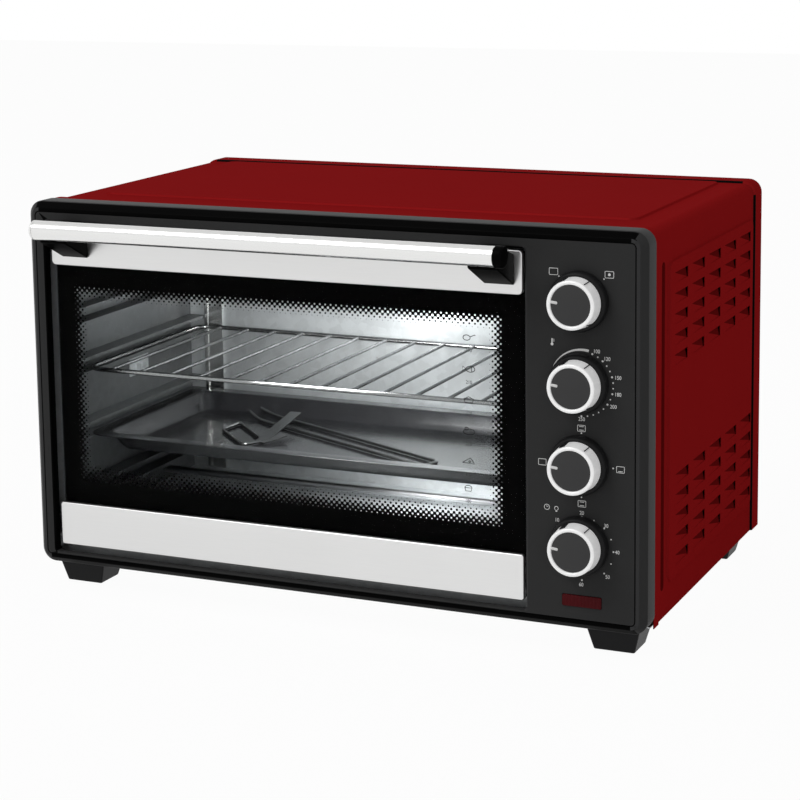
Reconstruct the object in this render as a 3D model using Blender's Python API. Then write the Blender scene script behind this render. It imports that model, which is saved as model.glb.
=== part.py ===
"""Countertop electric oven with a drop-down glass door, four rotary controls, a wire rack and a baking tray.

Metres, +Z up. The front faces -Y and the oven stands on Z = 0, with its origin under the middle of its
bounding box. Shapes are drawn in face coordinates: X from the body's middle, Y inwards from the flat face
of the front frame, Z up from the table. The empty face_datum carries them all to their place.
"""

import math

import bmesh
import bpy
from mathutils import Matrix, Vector

# Body
body_width = 0.540
body_height = 0.3315
body_depth = 0.330
foot_height = 0.0205
sheet = 0.001
fit_gap = 0.0003
overrun = 0.002

# Front frame
side_rail = 0.0165
control_panel_width = 0.096
top_rail = 0.0155
bottom_rail = 0.010
frame_face_inset = 0.005
frame_bevel_depth = 0.006
frame_skirt_depth = 0.0236
frame_corner_radius = 0.012
frame_return_depth = 0.008
frame_lip = 0.0012
opening_corner_radius = 0.004

# Cover with raised panels, raised hems at both ends and louvres pressed in
cover_inset = 0.0024
panel_rise = 0.0018
front_hem_depth = 0.0116
rear_hem_depth = 0.0195
hem_slope = 0.0012
panel_slope = 0.0014
top_panel_side_margin = 0.0303
top_panel_front = 0.072
top_panel_rear_margin = 0.0255
side_panel_front = 0.0615
side_panel_rear_margin = 0.0255
side_panel_bottom_margin = 0.0245
side_panel_top_margin = 0.031
panel_corner_radius = 0.008
louvre_length = 0.036
louvre_height = 0.0085
louvre_drop = 0.0036
louvre_columns = 5
louvre_rows = 5
upper_louvre_first_rear = 0.1085
upper_louvre_pitch = 0.0466
upper_louvre_top_margin = 0.0457
upper_louvre_row_pitch = 0.0162
lower_louvre_first_rear = 0.1135
lower_louvre_pitch = 0.047
lower_louvre_bottom_margin = 0.0391
lower_louvre_row_pitch = 0.01635

# Back and base
vent_length = 0.060
vent_height = 0.004
vent_pitch = 0.014
vent_rows = 6
vent_centre_share = 0.26
gland_side_margin = 0.060
gland_height = 0.052
gland_radius = 0.0065
gland_head_radius = 0.009
gland_head_length = 0.005
gland_tail_length = 0.010
gland_tail_share = 0.62
gland_shoulder_share = 0.6

# Feet
foot_top_width = 0.044
foot_bottom_width = 0.033
foot_top_length = 0.036
foot_bottom_length = 0.028
foot_side_inset = 0.0095
foot_front_inset = 0.016

# Cavity
cavity_left_tuck = 0.0015
cavity_right_tuck = 0.006
cavity_floor_rise = 0.016
cavity_roof_drop = 0.0155
cavity_depth = 0.2455
surround_depth = 0.0223
mouth_left_tuck = 0.0045
mouth_right_tuck = 0.0105
mouth_bottom_rise = 0.013
mouth_top_drop = 0.0135
mouth_corner_radius = 0.006
emboss_margin = 0.016
emboss_height = 0.0015
emboss_slope = 0.002
emboss_corner_radius = 0.014
ledge_width = 0.015
ledge_thickness = 0.003
ledge_spacing = 0.0095
ledge_end_gap = 0.0014
lowest_level = 0.022
tray_level = 0.0769
rack_level = 0.1337
top_level = 0.1775
partition_gap = 0.007

# Heating elements
rod_radius = 0.0033
rod_collar_radius = 0.0055
rod_collar_length = 0.005
rod_lower_rise = 0.010
rod_upper_drop = 0.015
rod_front_depth = 0.082
rod_rear_depth = 0.190

# Rotary controls
knob_side_margin = 0.0522
top_knob_height_share = 0.83775
knob_pitch_share = 0.190353
knob_face_gap = 0.0008
knob_skirt_radius = 0.0232
knob_skirt_depth = 0.0055
knob_shoulder_radius = 0.0208
knob_shoulder_depth = 0.009
knob_face_radius = 0.0156
knob_depth = 0.0215
knob_edge = 0.0007
ring_radius = 0.0197
ring_front_radius = 0.0188
ring_bevel = 0.0013
ring_stand = 0.001
shaft_radius = 0.003
shaft_seat_depth = 0.011
shaft_bore_depth = 0.010
running_gap = 0.0001
panel_hole_gap = 0.0005
switch_size = 0.034
switch_depth = 0.022
thermostat_width = 0.030
thermostat_height = 0.038
thermostat_depth = 0.027
timer_radius = 0.021
timer_depth = 0.034

# Pilot lamp
lamp_side_margin = 0.035
lamp_width = 0.0315
lamp_height = 0.0091
lamp_height_share = 0.13239
lamp_stand = 0.0012
lamp_holder_margin = 0.003
lamp_holder_depth = 0.011

# Door
door_side_gap = 0.0035
door_bottom_gap = 0.0064
door_top_gap = 0.003
door_recess = 0.004
door_channel_front = 0.012
door_channel_depth = 0.008
strip_sheet = 0.0012
upper_strip_height = 0.0350
lower_strip_height = 0.0371
glass_thickness = 0.0037
glass_recess = 0.008
glass_side_inset = 0.0005
glass_lap = 0.006
window_left_margin = 0.012
window_right_margin = 0.0145
window_lap = 0.013
window_corner_radius = 0.006
hinge_depth = 0.0125
hinge_rise = 0.012
hinge_pin_radius = 0.0022
hinge_pin_reach = 0.006
hinge_plate_height = 0.020
hinge_plate_gap = 0.001
hinge_plate_front = 0.0085

# Handle
bar_radius = 0.008
bar_wall = 0.001
bar_reach = 0.0425
bar_drop = 0.018
bar_left_inset = 0.0115
bar_right_inset = 0.0065
cap_head_radius = 0.0085
cap_head_length = 0.0068
cap_plug_length = 0.010
cap_edge = 0.0012
left_cap_length = 0.0022
bracket_width = 0.025
bracket_root_top_drop = 0.0035
bracket_root_bottom_rise = 0.0075
bracket_tip_reach = 0.030
bracket_top_reach = 0.024
bracket_top_rise = 0.006
bracket_tip_drop = 0.011

# Rack and tray
rack_side_gap = 0.0125
rack_wire_radius = 0.002
rack_bar_radius = 0.0014
rack_front_depth = 0.042
rack_rear_gap = 0.003
rack_corner_radius = 0.014
rack_bar_pitch_share = 0.0711
rack_first_bar_share = 0.0565
rack_bar_count = 13
rest_gap = 0.0003
tray_side_gap = 0.0078
tray_front_depth = 0.042
tray_rear_gap = 0.004
tray_sheet = 0.0008
tray_rim_width = 0.0145
tray_flare = 0.007
tray_basin_depth = 0.015
tray_corner_radius = 0.012
tray_rim_radius = 0.018

# Rotisserie drive
spit_depth = 0.1465
spit_rise = 0.119
socket_head_radius = 0.0075
socket_head_length = 0.010
socket_shaft_radius = 0.004
socket_recess_width = 0.0075
socket_recess_depth = 0.006
socket_tail_length = 0.008
motor_width = 0.024
motor_length = 0.050
motor_height = 0.042
support_length = 0.032
support_height = 0.020
support_thickness = 0.0015
support_arm_reach = 0.007
support_notch_radius = 0.0042

# Loose tools that lie in the tray
tool_wire_radius = 0.0016
tool_plate_thickness = 0.0012
tool_plate_width = 0.011
tool_lift = 0.0003
tool_bend_radius = 0.005

# Places that follow from the sizes above
half_width = body_width / 2
front_y = (bar_reach - body_depth - gland_head_length) / 2
skin_x = half_width - cover_inset
skin_top = body_height - cover_inset
inner_x = skin_x - sheet - fit_gap
inner_top = skin_top - sheet - fit_gap
opening_left = side_rail - half_width
opening_right = half_width - control_panel_width
opening_bottom = foot_height + bottom_rail
opening_top = body_height - top_rail
cavity_left = opening_left - cavity_left_tuck
cavity_right = opening_right - cavity_right_tuck
cavity_floor = opening_bottom + cavity_floor_rise
cavity_roof = opening_top - cavity_roof_drop
cavity_front = surround_depth + sheet + fit_gap
partition_x = cavity_right + sheet + partition_gap
knob_x = half_width - knob_side_margin
door_left = opening_left + door_side_gap
door_right = opening_right - door_side_gap
door_bottom = opening_bottom + door_bottom_gap
door_top = opening_top - door_top_gap
hinge_z = opening_bottom + hinge_rise
bar_axis_y = bar_radius - bar_reach
bar_axis_z = body_height - bar_drop
bar_left = door_left + bar_left_inset
bar_right = door_right - bar_right_inset
rack_z = cavity_floor + rack_level + rest_gap + rack_wire_radius
tray_rim_z = cavity_floor + tray_level + rest_gap + tray_sheet
tray_floor_z = tray_rim_z - tray_basin_depth
spit_z = cavity_floor + spit_rise

# Counts of straight pieces in a round shape
round_steps = 32
wire_steps = 8
corner_steps = 4
smooth_angle = math.radians(35)


def rounded_outline(left, right, low, high, radius, steps=corner_steps):
    """The points of a rectangle with round corners, anticlockwise from its lower right corner."""
    corners = (
        (right - radius, low + radius, -90),
        (right - radius, high - radius, 0),
        (left + radius, high - radius, 90),
        (left + radius, low + radius, 180),
    )
    points = []
    for across, up, start in corners:
        for step in range(steps + 1):
            angle = math.radians(start + 90 * step / steps)
            points.append((across + radius * math.cos(angle), up + radius * math.sin(angle)))
    return points


def arch_outline(half, low, high, radius, steps=corner_steps):
    """The points over an arch with round shoulders, from its lower left foot to its lower right one."""
    points = [(-half, low)]
    for side, start in ((-1, 180), (1, 90)):
        for step in range(steps + 1):
            angle = math.radians(start - 90 * step / steps)
            across = side * (half - radius) + radius * math.cos(angle)
            points.append((across, high - radius + radius * math.sin(angle)))
    points.append((half, low))
    return points


def facing(outline, depth):
    """Outline points put upright at a depth behind the frame's face."""
    return [Vector((across, depth, up)) for across, up in outline]


def lying(outline, height):
    """Outline points laid flat at a height."""
    return [Vector((across, depth, height)) for across, depth in outline]


def sideways(outline, across):
    """Outline points, given as depth and height, put in the plane at one X."""
    return [Vector((across, depth, up)) for depth, up in outline]


def add_loft(bm, loops, ring=False):
    """Skin through loops of equal length, closed on itself as a ring or by a flat cap at each end."""
    rows = [[bm.verts.new(point) for point in loop] for loop in loops]
    following = rows[1:] + rows[:1] if ring else rows[1:]
    for low, high in zip(rows, following):
        for here in range(len(low)):
            after = (here + 1) % len(low)
            bm.faces.new((low[here], low[after], high[after], high[here]))
    if not ring:
        bm.faces.new(rows[0])
        bm.faces.new(rows[-1])


def add_box(bm, low, high):
    """A block between two opposite corners."""
    made = bmesh.ops.create_cube(bm, size=1)
    size = [top - bottom for bottom, top in zip(low, high)]
    middle = [(top + bottom) / 2 for bottom, top in zip(low, high)]
    bmesh.ops.scale(bm, vec=size, verts=made["verts"])
    bmesh.ops.translate(bm, vec=middle, verts=made["verts"])


def add_turned(bm, profile, centre, axis="Y", steps=round_steps, ring=False):
    """A turned shape: the profile lists radius and place along the axis through the centre."""
    turn = {
        "X": Matrix.Rotation(math.radians(90), 3, "Y"),
        "Y": Matrix.Rotation(math.radians(-90), 3, "X"),
        "Z": Matrix.Identity(3),
    }[axis]
    loops = []
    for radius, along in profile:
        loop = []
        for step in range(steps):
            angle = 2 * math.pi * step / steps
            point = Vector((radius * math.cos(angle), radius * math.sin(angle), along))
            loop.append(turn @ point + Vector(centre))
        loops.append(loop)
    add_loft(bm, loops, ring)


def filleted(corners, radius, closed=False, steps=corner_steps):
    """A path through corner points with each bend rounded by a short curve."""
    corners = [Vector(corner) for corner in corners]
    count = len(corners)
    path = []
    for place, corner in enumerate(corners):
        if not closed and place in (0, count - 1):
            path.append(corner)
            continue
        before = corners[place - 1] - corner
        after = corners[(place + 1) % count] - corner
        reach = min(radius, before.length / 2, after.length / 2)
        start = corner + before.normalized() * reach
        end = corner + after.normalized() * reach
        for step in range(steps + 1):
            share = step / steps
            path.append(start.lerp(corner, share).lerp(corner.lerp(end, share), share))
    return path


def add_wire(bm, path, radius, closed=False, steps=wire_steps):
    """A round wire along a path, its section carried on without twist."""
    count = len(path)
    loops = []
    side = None
    for place, point in enumerate(path):
        before = path[place - 1] if place or closed else point
        after = path[(place + 1) % count] if place + 1 < count or closed else point
        along = (after - before).normalized()
        side = along.orthogonal() if side is None else side - along * side.dot(along)
        side.normalize()
        up = along.cross(side)
        loop = []
        for step in range(steps):
            angle = 2 * math.pi * step / steps
            loop.append(point + radius * (math.cos(angle) * side + math.sin(angle) * up))
        loops.append(loop)
    add_loft(bm, loops, ring=closed)


def finish(name, colour, roughness, metallic):
    """A plain surface finish."""
    material = bpy.data.materials.new(name)
    material.use_nodes = True
    shader = material.node_tree.nodes["Principled BSDF"]
    shader.inputs["Base Color"].default_value = (*colour, 1)
    shader.inputs["Roughness"].default_value = roughness
    shader.inputs["Metallic"].default_value = metallic
    return material


def axis_empty(name, place, parent):
    """An empty that carries pieces, on the axis they turn about."""
    empty = bpy.data.objects.new(name, None)
    bpy.context.scene.collection.objects.link(empty)
    empty.parent = parent
    empty.location = place
    return empty


def mesh_of(name, bm, carrier, at):
    """The drawn shape as a mesh; a shape in face coordinates is moved onto its carrier's own origin."""
    if at is None:
        bmesh.ops.translate(bm, vec=-carrier.location, verts=bm.verts)
    bmesh.ops.recalc_face_normals(bm, faces=bm.faces)
    mesh = bpy.data.meshes.new(name)
    bm.to_mesh(mesh)
    bm.free()
    mesh.shade_smooth()
    mesh.set_sharp_from_angle(angle=smooth_angle)
    return mesh


def place_mesh(name, mesh, carrier, at):
    """An object for the mesh on its carrier, at a place given there or at the carrier's origin."""
    piece = bpy.data.objects.new(name, mesh)
    bpy.context.scene.collection.objects.link(piece)
    piece.parent = carrier
    piece.location = at or (0, 0, 0)
    return piece


def add_piece(name, bm, material, carrier, at=None):
    """A sub-part: drawn in face coordinates, or round its own origin when it is given a place."""
    mesh = mesh_of(name, bm, carrier, at)
    mesh.materials.append(material)
    return place_mesh(name, mesh, carrier, at)


def shape_with(piece, bm, operation):
    """Cuts a helper shape, drawn like the piece, out of it, or joins the two."""
    drawn_at = None if piece.location.length == 0 else piece.location
    label = f"{piece.name}_{operation.lower()}"
    helper = place_mesh(label, mesh_of(label, bm, piece.parent, drawn_at), piece.parent, piece.location)
    helper.hide_render = True
    helper.display_type = "WIRE"
    modifier = piece.modifiers.new(operation.title(), "BOOLEAN")
    modifier.operation = operation
    modifier.object = helper


def body_outline(inset):
    """The front outline of the body, drawn in by an inset."""
    low = foot_height + inset
    radius = frame_corner_radius - inset
    return rounded_outline(inset - half_width, half_width - inset, low, body_height - inset, radius)


def opening_outline(grown):
    """The door opening's outline, grown outwards."""
    sides = (opening_left - grown, opening_right + grown, opening_bottom - grown, opening_top + grown)
    return rounded_outline(*sides, opening_corner_radius + grown)


def knob_places():
    """Name and height of each control, from the top."""
    names = ("function", "thermostat", "heat", "timer")
    top = body_height * top_knob_height_share
    pitch = body_height * knob_pitch_share
    return [(name, top - pitch * row) for row, name in enumerate(names)]


def make_front_frame(chassis, black):
    """The pressed frame: bevelled face, skirt round its edge and a flange turned in round the door opening."""
    bm = bmesh.new()
    loops = [
        facing(body_outline(frame_face_inset), 0),
        facing(body_outline(0), frame_bevel_depth),
        facing(body_outline(0), frame_skirt_depth),
        facing(body_outline(sheet), frame_skirt_depth),
        facing(body_outline(sheet), frame_bevel_depth + sheet / 2),
        facing(body_outline(frame_face_inset + sheet / 2), sheet),
        facing(opening_outline(sheet), sheet),
        facing(opening_outline(sheet), frame_return_depth),
        facing(opening_outline(0), frame_return_depth),
        facing(opening_outline(0), frame_lip),
        facing(opening_outline(frame_lip / 4), frame_lip / 4),
        facing(opening_outline(frame_lip), 0),
    ]
    add_loft(bm, loops, ring=True)
    frame = add_piece("front_frame", bm, black, chassis)
    holes = bmesh.new()
    hole = ((shaft_radius + panel_hole_gap, -overrun), (shaft_radius + panel_hole_gap, sheet + overrun))
    for _, height in knob_places():
        add_turned(holes, hole, (knob_x, 0, height))
    left, right, low, high = lamp_edges(fit_gap)
    add_box(holes, (left, -overrun, low), (right, sheet + overrun, high))
    shape_with(frame, holes, "DIFFERENCE")


def lamp_edges(grown):
    """Left, right, bottom and top of the pilot lamp's lens, grown outwards."""
    middle = half_width - lamp_side_margin - lamp_width / 2
    across = lamp_width / 2 + grown
    up = lamp_height / 2 + grown
    height = body_height * lamp_height_share
    return middle - across, middle + across, height - up, height + up


def louvre_wedge(side, rear, height):
    """The two triangles between which a louvre is pressed: it deepens to the rear and opens there."""
    panel = skin_x + panel_rise
    outside = side * (panel + overrun)
    surface = side * panel
    deep = side * (panel - louvre_drop)
    edges = []
    for up in (height - louvre_height / 2, height + louvre_height / 2):
        edges.append(
            [
                Vector((outside, rear - louvre_length, up)),
                Vector((surface, rear - louvre_length, up)),
                Vector((deep, rear, up)),
                Vector((outside, rear, up)),
            ]
        )
    return edges


def add_panel(pads, hollows, outline_at, surface, outwards):
    """A panel pressed out of the sheet: the metal up to its face, and the hollow behind it."""
    face = surface + outwards * panel_rise
    root = surface - outwards * sheet / 2
    add_loft(pads, [outline_at(0, root), outline_at(0, surface), outline_at(panel_slope, face)])
    mouth = surface - outwards * (sheet + overrun)
    behind = [outline_at(sheet, mouth), outline_at(sheet, surface - outwards * sheet)]
    add_loft(hollows, behind + [outline_at(sheet + panel_slope, face - outwards * sheet)])


def make_cover(chassis, red):
    """The painted cover: both sides and the top from one sheet, with raised hems, raised panels and louvred sides."""
    start = frame_skirt_depth + fit_gap
    radius = frame_corner_radius - cover_inset
    raised = arch_outline(skin_x + panel_rise, foot_height, skin_top + panel_rise, radius + panel_rise)
    outer = arch_outline(skin_x, foot_height, skin_top, radius)
    inner = arch_outline(skin_x - sheet, foot_height, skin_top - sheet, radius - sheet)[::-1]
    front_hem = start + front_hem_depth
    rear_hem = body_depth - rear_hem_depth
    sections = [facing(raised + inner, start), facing(raised + inner, front_hem)]
    sections += [facing(outer + inner, front_hem + hem_slope), facing(outer + inner, rear_hem - hem_slope)]
    sections += [facing(raised + inner, rear_hem), facing(raised + inner, body_depth)]
    bm = bmesh.new()
    add_loft(bm, sections)
    cover = add_piece("cover", bm, red, chassis)

    def top_outline(inset, height):
        half = half_width - top_panel_side_margin - inset
        front = top_panel_front + inset
        rear = body_depth - top_panel_rear_margin - inset
        return lying(rounded_outline(-half, half, front, rear, panel_corner_radius - inset), height)

    def side_outline(inset, across):
        rear = body_depth - side_panel_rear_margin - inset
        low = foot_height + side_panel_bottom_margin + inset
        high = body_height - side_panel_top_margin - inset
        front = side_panel_front + inset
        return sideways(rounded_outline(front, rear, low, high, panel_corner_radius - inset), across)

    pads = bmesh.new()
    hollows = bmesh.new()
    add_panel(pads, hollows, top_outline, skin_top, 1)
    for side in (-1, 1):
        add_panel(pads, hollows, side_outline, side * skin_x, side)
    shape_with(cover, pads, "UNION")
    shape_with(cover, hollows, "DIFFERENCE")
    louvres = bmesh.new()
    upper = body_height - upper_louvre_top_margin
    lower = foot_height + lower_louvre_bottom_margin
    for row in range(louvre_rows):
        for column in range(louvre_columns):
            for side in (-1, 1):
                rear = upper_louvre_first_rear + upper_louvre_pitch * column
                add_loft(louvres, louvre_wedge(side, rear, upper - upper_louvre_row_pitch * row))
                rear = lower_louvre_first_rear + lower_louvre_pitch * column
                add_loft(louvres, louvre_wedge(side, rear, lower + lower_louvre_row_pitch * row))
    shape_with(cover, louvres, "DIFFERENCE")


def make_back_panel(chassis, dark):
    """The rear panel inside the cover's edge, with two blocks of vents and the hole for the cord's gland."""
    radius = frame_corner_radius - cover_inset - sheet
    outline = arch_outline(inner_x, foot_height, inner_top, radius)
    bm = bmesh.new()
    add_loft(bm, [facing(outline, body_depth - sheet), facing(outline, body_depth)])
    panel = add_piece("back_panel", bm, dark, chassis)
    cuts = bmesh.new()
    low_y = body_depth - sheet - overrun
    middle = (foot_height + body_height) / 2
    for side in (-1, 1):
        centre = side * vent_centre_share * body_width
        for row in range(vent_rows):
            height = middle + vent_pitch * (row + 1)
            low = (centre - vent_length / 2, low_y, height - vent_height / 2)
            add_box(cuts, low, (centre + vent_length / 2, body_depth + overrun, height + vent_height / 2))
    hole = ((gland_radius + fit_gap, -sheet - overrun), (gland_radius + fit_gap, overrun))
    add_turned(cuts, hole, (half_width - gland_side_margin, body_depth, gland_height))
    shape_with(panel, cuts, "DIFFERENCE")


def make_gland(chassis, black):
    """The gland that the cord comes out of, headed on both faces of the back panel."""
    tail = -sheet - gland_tail_length
    profile = (
        (gland_radius * gland_tail_share, tail),
        (gland_radius, tail / 2),
        (gland_radius, fit_gap),
        (gland_head_radius, fit_gap),
        (gland_head_radius, gland_head_length * gland_shoulder_share),
        (gland_radius, gland_head_length),
    )
    bm = bmesh.new()
    add_turned(bm, profile, (half_width - gland_side_margin, body_depth, gland_height), steps=round_steps // 2)
    add_piece("cord_gland", bm, black, chassis)


def make_base(chassis, galvanised):
    """The base plate between the skirt and the back panel, with cooling slots."""
    low = (-inner_x, frame_skirt_depth + fit_gap, foot_height)
    high = (inner_x, body_depth - sheet - fit_gap, foot_height + sheet)
    bm = bmesh.new()
    add_box(bm, low, high)
    base = add_piece("base_plate", bm, galvanised, chassis)
    cuts = bmesh.new()
    middle = body_depth / 2
    for side in (-1, 1):
        centre = side * vent_centre_share * body_width
        for row in range(vent_rows):
            depth = middle + vent_pitch * (row - (vent_rows - 1) / 2)
            corner = (centre - vent_length / 2, depth - vent_height / 2, foot_height - overrun)
            far = (centre + vent_length / 2, depth + vent_height / 2, foot_height + sheet + overrun)
            add_box(cuts, corner, far)
    shape_with(base, cuts, "DIFFERENCE")


def make_feet(chassis, black):
    """Four tapered feet under the base plate, from one mould."""
    top = foot_height - fit_gap

    def block(width, length, height):
        outline = ((-width, -length), (width, -length), (width, length), (-width, length))
        return [Vector((across / 2, along / 2, height)) for across, along in outline]

    across = half_width - foot_side_inset - foot_top_width / 2
    front = foot_front_inset + foot_top_length / 2
    places = {
        "foot_front_left": (-across, front, 0),
        "foot_front_right": (across, front, 0),
        "foot_rear_left": (-across, body_depth - front, 0),
        "foot_rear_right": (across, body_depth - front, 0),
    }
    mesh = None
    for name, place in places.items():
        if mesh:
            place_mesh(name, mesh, chassis, place)
            continue
        bm = bmesh.new()
        sole = block(foot_bottom_width, foot_bottom_length, 0)
        add_loft(bm, [sole, block(foot_top_width, foot_top_length, top)])
        mesh = add_piece(name, bm, black, chassis, place).data


def make_surround(chassis, galvanised):
    """The plate round the cavity's mouth that the closed door rests against."""
    edge = sheet + fit_gap
    mouth = rounded_outline(
        opening_left + mouth_left_tuck,
        opening_right - mouth_right_tuck,
        opening_bottom + mouth_bottom_rise,
        opening_top - mouth_top_drop,
        mouth_corner_radius,
    )
    sides = (edge - half_width, partition_x + sheet, foot_height + edge, body_height - edge)
    outer = rounded_outline(*sides, frame_corner_radius - edge)
    front = surround_depth
    back = surround_depth + sheet
    bm = bmesh.new()
    add_loft(bm, [facing(outer, front), facing(outer, back), facing(mouth, back), facing(mouth, front)], ring=True)
    add_piece("cavity_surround", bm, galvanised, chassis)


def ledge_levels():
    """Heights of the ledges' resting faces."""
    return [cavity_floor + rise for rise in (lowest_level, tray_level, rack_level, top_level)]


def make_side_wall(chassis, galvanised, name, inner, side):
    """A cavity side wall with a pair of guide ledges at each level and holes for the heating rods."""
    outer = inner + side * sheet
    rear = cavity_depth - fit_gap
    low = (min(inner, outer), cavity_front, cavity_floor - sheet)
    bm = bmesh.new()
    add_box(bm, low, (max(inner, outer), rear, cavity_roof + sheet))
    wall = add_piece(name, bm, galvanised, chassis)
    ledges = bmesh.new()
    root = inner + side * sheet / 2
    tip = inner - side * ledge_width
    for level in ledge_levels():
        for top in (level, level + ledge_spacing + ledge_thickness):
            low = (min(root, tip), cavity_front + ledge_end_gap, top - ledge_thickness)
            add_box(ledges, low, (max(root, tip), rear - ledge_end_gap, top))
    shape_with(wall, ledges, "UNION")
    holes = bmesh.new()
    reach = sheet + overrun
    radius = rod_radius + fit_gap
    for depth, height in rod_places().values():
        profile = ((radius, -reach), (radius, reach))
        add_turned(holes, profile, (inner, depth, height), axis="X", steps=round_steps // 2)
    if side > 0:
        radius = socket_shaft_radius + fit_gap
        add_turned(holes, ((radius, -reach), (radius, reach)), (inner, spit_depth, spit_z), axis="X")
    shape_with(wall, holes, "DIFFERENCE")


def make_cavity(chassis, galvanised):
    """The cavity's sheet walls: two sides, roof, floor and an embossed back."""
    make_side_wall(chassis, galvanised, "cavity_left_wall", cavity_left, -1)
    make_side_wall(chassis, galvanised, "cavity_right_wall", cavity_right, 1)
    left = cavity_left + fit_gap
    right = cavity_right - fit_gap
    rear = cavity_depth - fit_gap
    for name, low, high in (
        ("cavity_floor", cavity_floor - sheet, cavity_floor),
        ("cavity_roof", cavity_roof, cavity_roof + sheet),
    ):
        bm = bmesh.new()
        add_box(bm, (left, cavity_front, low), (right, rear, high))
        add_piece(name, bm, galvanised, chassis)
    bm = bmesh.new()
    low = (cavity_left - sheet, cavity_depth, cavity_floor - sheet)
    add_box(bm, low, (cavity_right + sheet, cavity_depth + sheet, cavity_roof + sheet))
    back = add_piece("cavity_back_wall", bm, galvanised, chassis)

    def emboss_outline(inset):
        gap = emboss_margin + inset
        sides = (cavity_left + gap, cavity_right - gap)
        return rounded_outline(*sides, cavity_floor + gap, cavity_roof - gap, emboss_corner_radius - inset)

    emboss = bmesh.new()
    depths = (cavity_depth + sheet / 2, cavity_depth, cavity_depth - emboss_height)
    insets = (0, 0, emboss_slope)
    add_loft(emboss, [facing(emboss_outline(inset), depth) for inset, depth in zip(insets, depths)])
    shape_with(back, emboss, "UNION")


def make_partition(chassis, galvanised):
    """The upright sheet between the cavity and the control compartment."""
    bm = bmesh.new()
    low = (partition_x, cavity_front, foot_height + sheet + fit_gap)
    top = inner_top
    add_box(bm, low, (partition_x + sheet, body_depth - sheet - fit_gap, top))
    partition = add_piece("control_partition", bm, galvanised, chassis)
    hole = bmesh.new()
    profile = ((socket_shaft_radius + fit_gap, -overrun), (socket_shaft_radius + fit_gap, sheet + overrun))
    add_turned(hole, profile, (partition_x, spit_depth, spit_z), axis="X")
    shape_with(partition, hole, "DIFFERENCE")


def rod_places():
    """Depth and height of each straight heating rod."""
    low = cavity_floor + rod_lower_rise
    high = cavity_roof - rod_upper_drop
    return {
        "heater_lower_front": (rod_front_depth, low),
        "heater_lower_rear": (rod_rear_depth, low),
        "heater_upper_front": (rod_front_depth, high),
        "heater_upper_rear": (rod_rear_depth, high),
    }


def make_heaters(chassis, steel):
    """Four heating rods across the cavity, each held between insulating collars outside the two walls."""
    left = cavity_left - sheet - fit_gap
    right = cavity_right + sheet + fit_gap
    profile = (
        (rod_collar_radius, left - rod_collar_length),
        (rod_collar_radius, left),
        (rod_radius, left),
        (rod_radius, right),
        (rod_collar_radius, right),
        (rod_collar_radius, right + rod_collar_length),
    )
    mesh = None
    for name, (depth, height) in rod_places().items():
        place = (0, depth, height)
        if mesh:
            place_mesh(name, mesh, chassis, place)
            continue
        bm = bmesh.new()
        add_turned(bm, profile, (0, 0, 0), axis="X", steps=round_steps // 2)
        mesh = add_piece(name, bm, steel, chassis, place).data


def make_switch_bodies(chassis, plastic):
    """The switches, thermostat and timer behind the control panel, each bored for its shaft."""
    back = sheet + fit_gap
    places = dict(knob_places())
    boxes = {
        "function": ("function_switch", switch_size, switch_size, switch_depth),
        "thermostat": ("thermostat_body", thermostat_width, thermostat_height, thermostat_depth),
        "heat": ("heat_switch", switch_size, switch_size, switch_depth),
    }
    bodies = []
    for key, (name, width, height, depth) in boxes.items():
        bm = bmesh.new()
        middle = places[key]
        low = (knob_x - width / 2, back, middle - height / 2)
        add_box(bm, low, (knob_x + width / 2, back + depth, middle + height / 2))
        bodies.append((add_piece(name, bm, plastic, chassis), middle))
    bm = bmesh.new()
    middle = places["timer"]
    add_turned(bm, ((timer_radius, back), (timer_radius, back + timer_depth)), (knob_x, 0, middle))
    bodies.append((add_piece("timer_body", bm, plastic, chassis), middle))
    radius = shaft_radius + running_gap
    for body, middle in bodies:
        bore = bmesh.new()
        add_turned(bore, ((radius, 0), (radius, back + shaft_bore_depth)), (knob_x, 0, middle))
        shape_with(body, bore, "DIFFERENCE")


def make_controls(axes, black, chrome, steel):
    """Each control's turned knob, its bright ring and its shaft, on the shaft's axis."""
    seat = shaft_radius + running_gap
    body_profile = (
        (seat, -knob_face_gap - shaft_seat_depth),
        (seat, -knob_face_gap),
        (knob_skirt_radius, -knob_face_gap),
        (knob_skirt_radius, -knob_skirt_depth),
        (knob_shoulder_radius, -knob_shoulder_depth),
        (knob_face_radius, -knob_shoulder_depth),
        (knob_face_radius, knob_edge - knob_depth),
        (knob_face_radius - knob_edge, -knob_depth),
    )
    inner = knob_face_radius + fit_gap
    front = -knob_depth - ring_stand
    ring_profile = (
        (inner, -knob_shoulder_depth - fit_gap),
        (ring_radius, -knob_shoulder_depth - fit_gap),
        (ring_front_radius, front + ring_bevel),
        (ring_front_radius - ring_bevel, front),
        (inner + ring_bevel / 2, front),
        (inner, front + ring_bevel / 2),
    )
    shaft_start = fit_gap - knob_face_gap - shaft_seat_depth
    shaft_end = sheet + shaft_bore_depth
    shaft_profile = ((shaft_radius, shaft_start), (shaft_radius, shaft_end))
    meshes = {}
    for key, axis in axes.items():
        if meshes:
            for kind, mesh in meshes.items():
                place_mesh(f"{kind}_{key}", mesh, axis, (0, 0, 0))
            continue
        bm = bmesh.new()
        add_turned(bm, body_profile, (0, 0, 0))
        knob = add_piece(f"knob_{key}", bm, black, axis, Vector())
        meshes["knob"] = knob.data
        bm = bmesh.new()
        add_turned(bm, ring_profile, (0, 0, 0), ring=True)
        meshes["knob_ring"] = add_piece(f"knob_ring_{key}", bm, chrome, axis, Vector()).data
        bm = bmesh.new()
        add_turned(bm, shaft_profile, (0, 0, 0))
        meshes["knob_shaft"] = add_piece(f"knob_shaft_{key}", bm, steel, axis, Vector()).data


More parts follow.
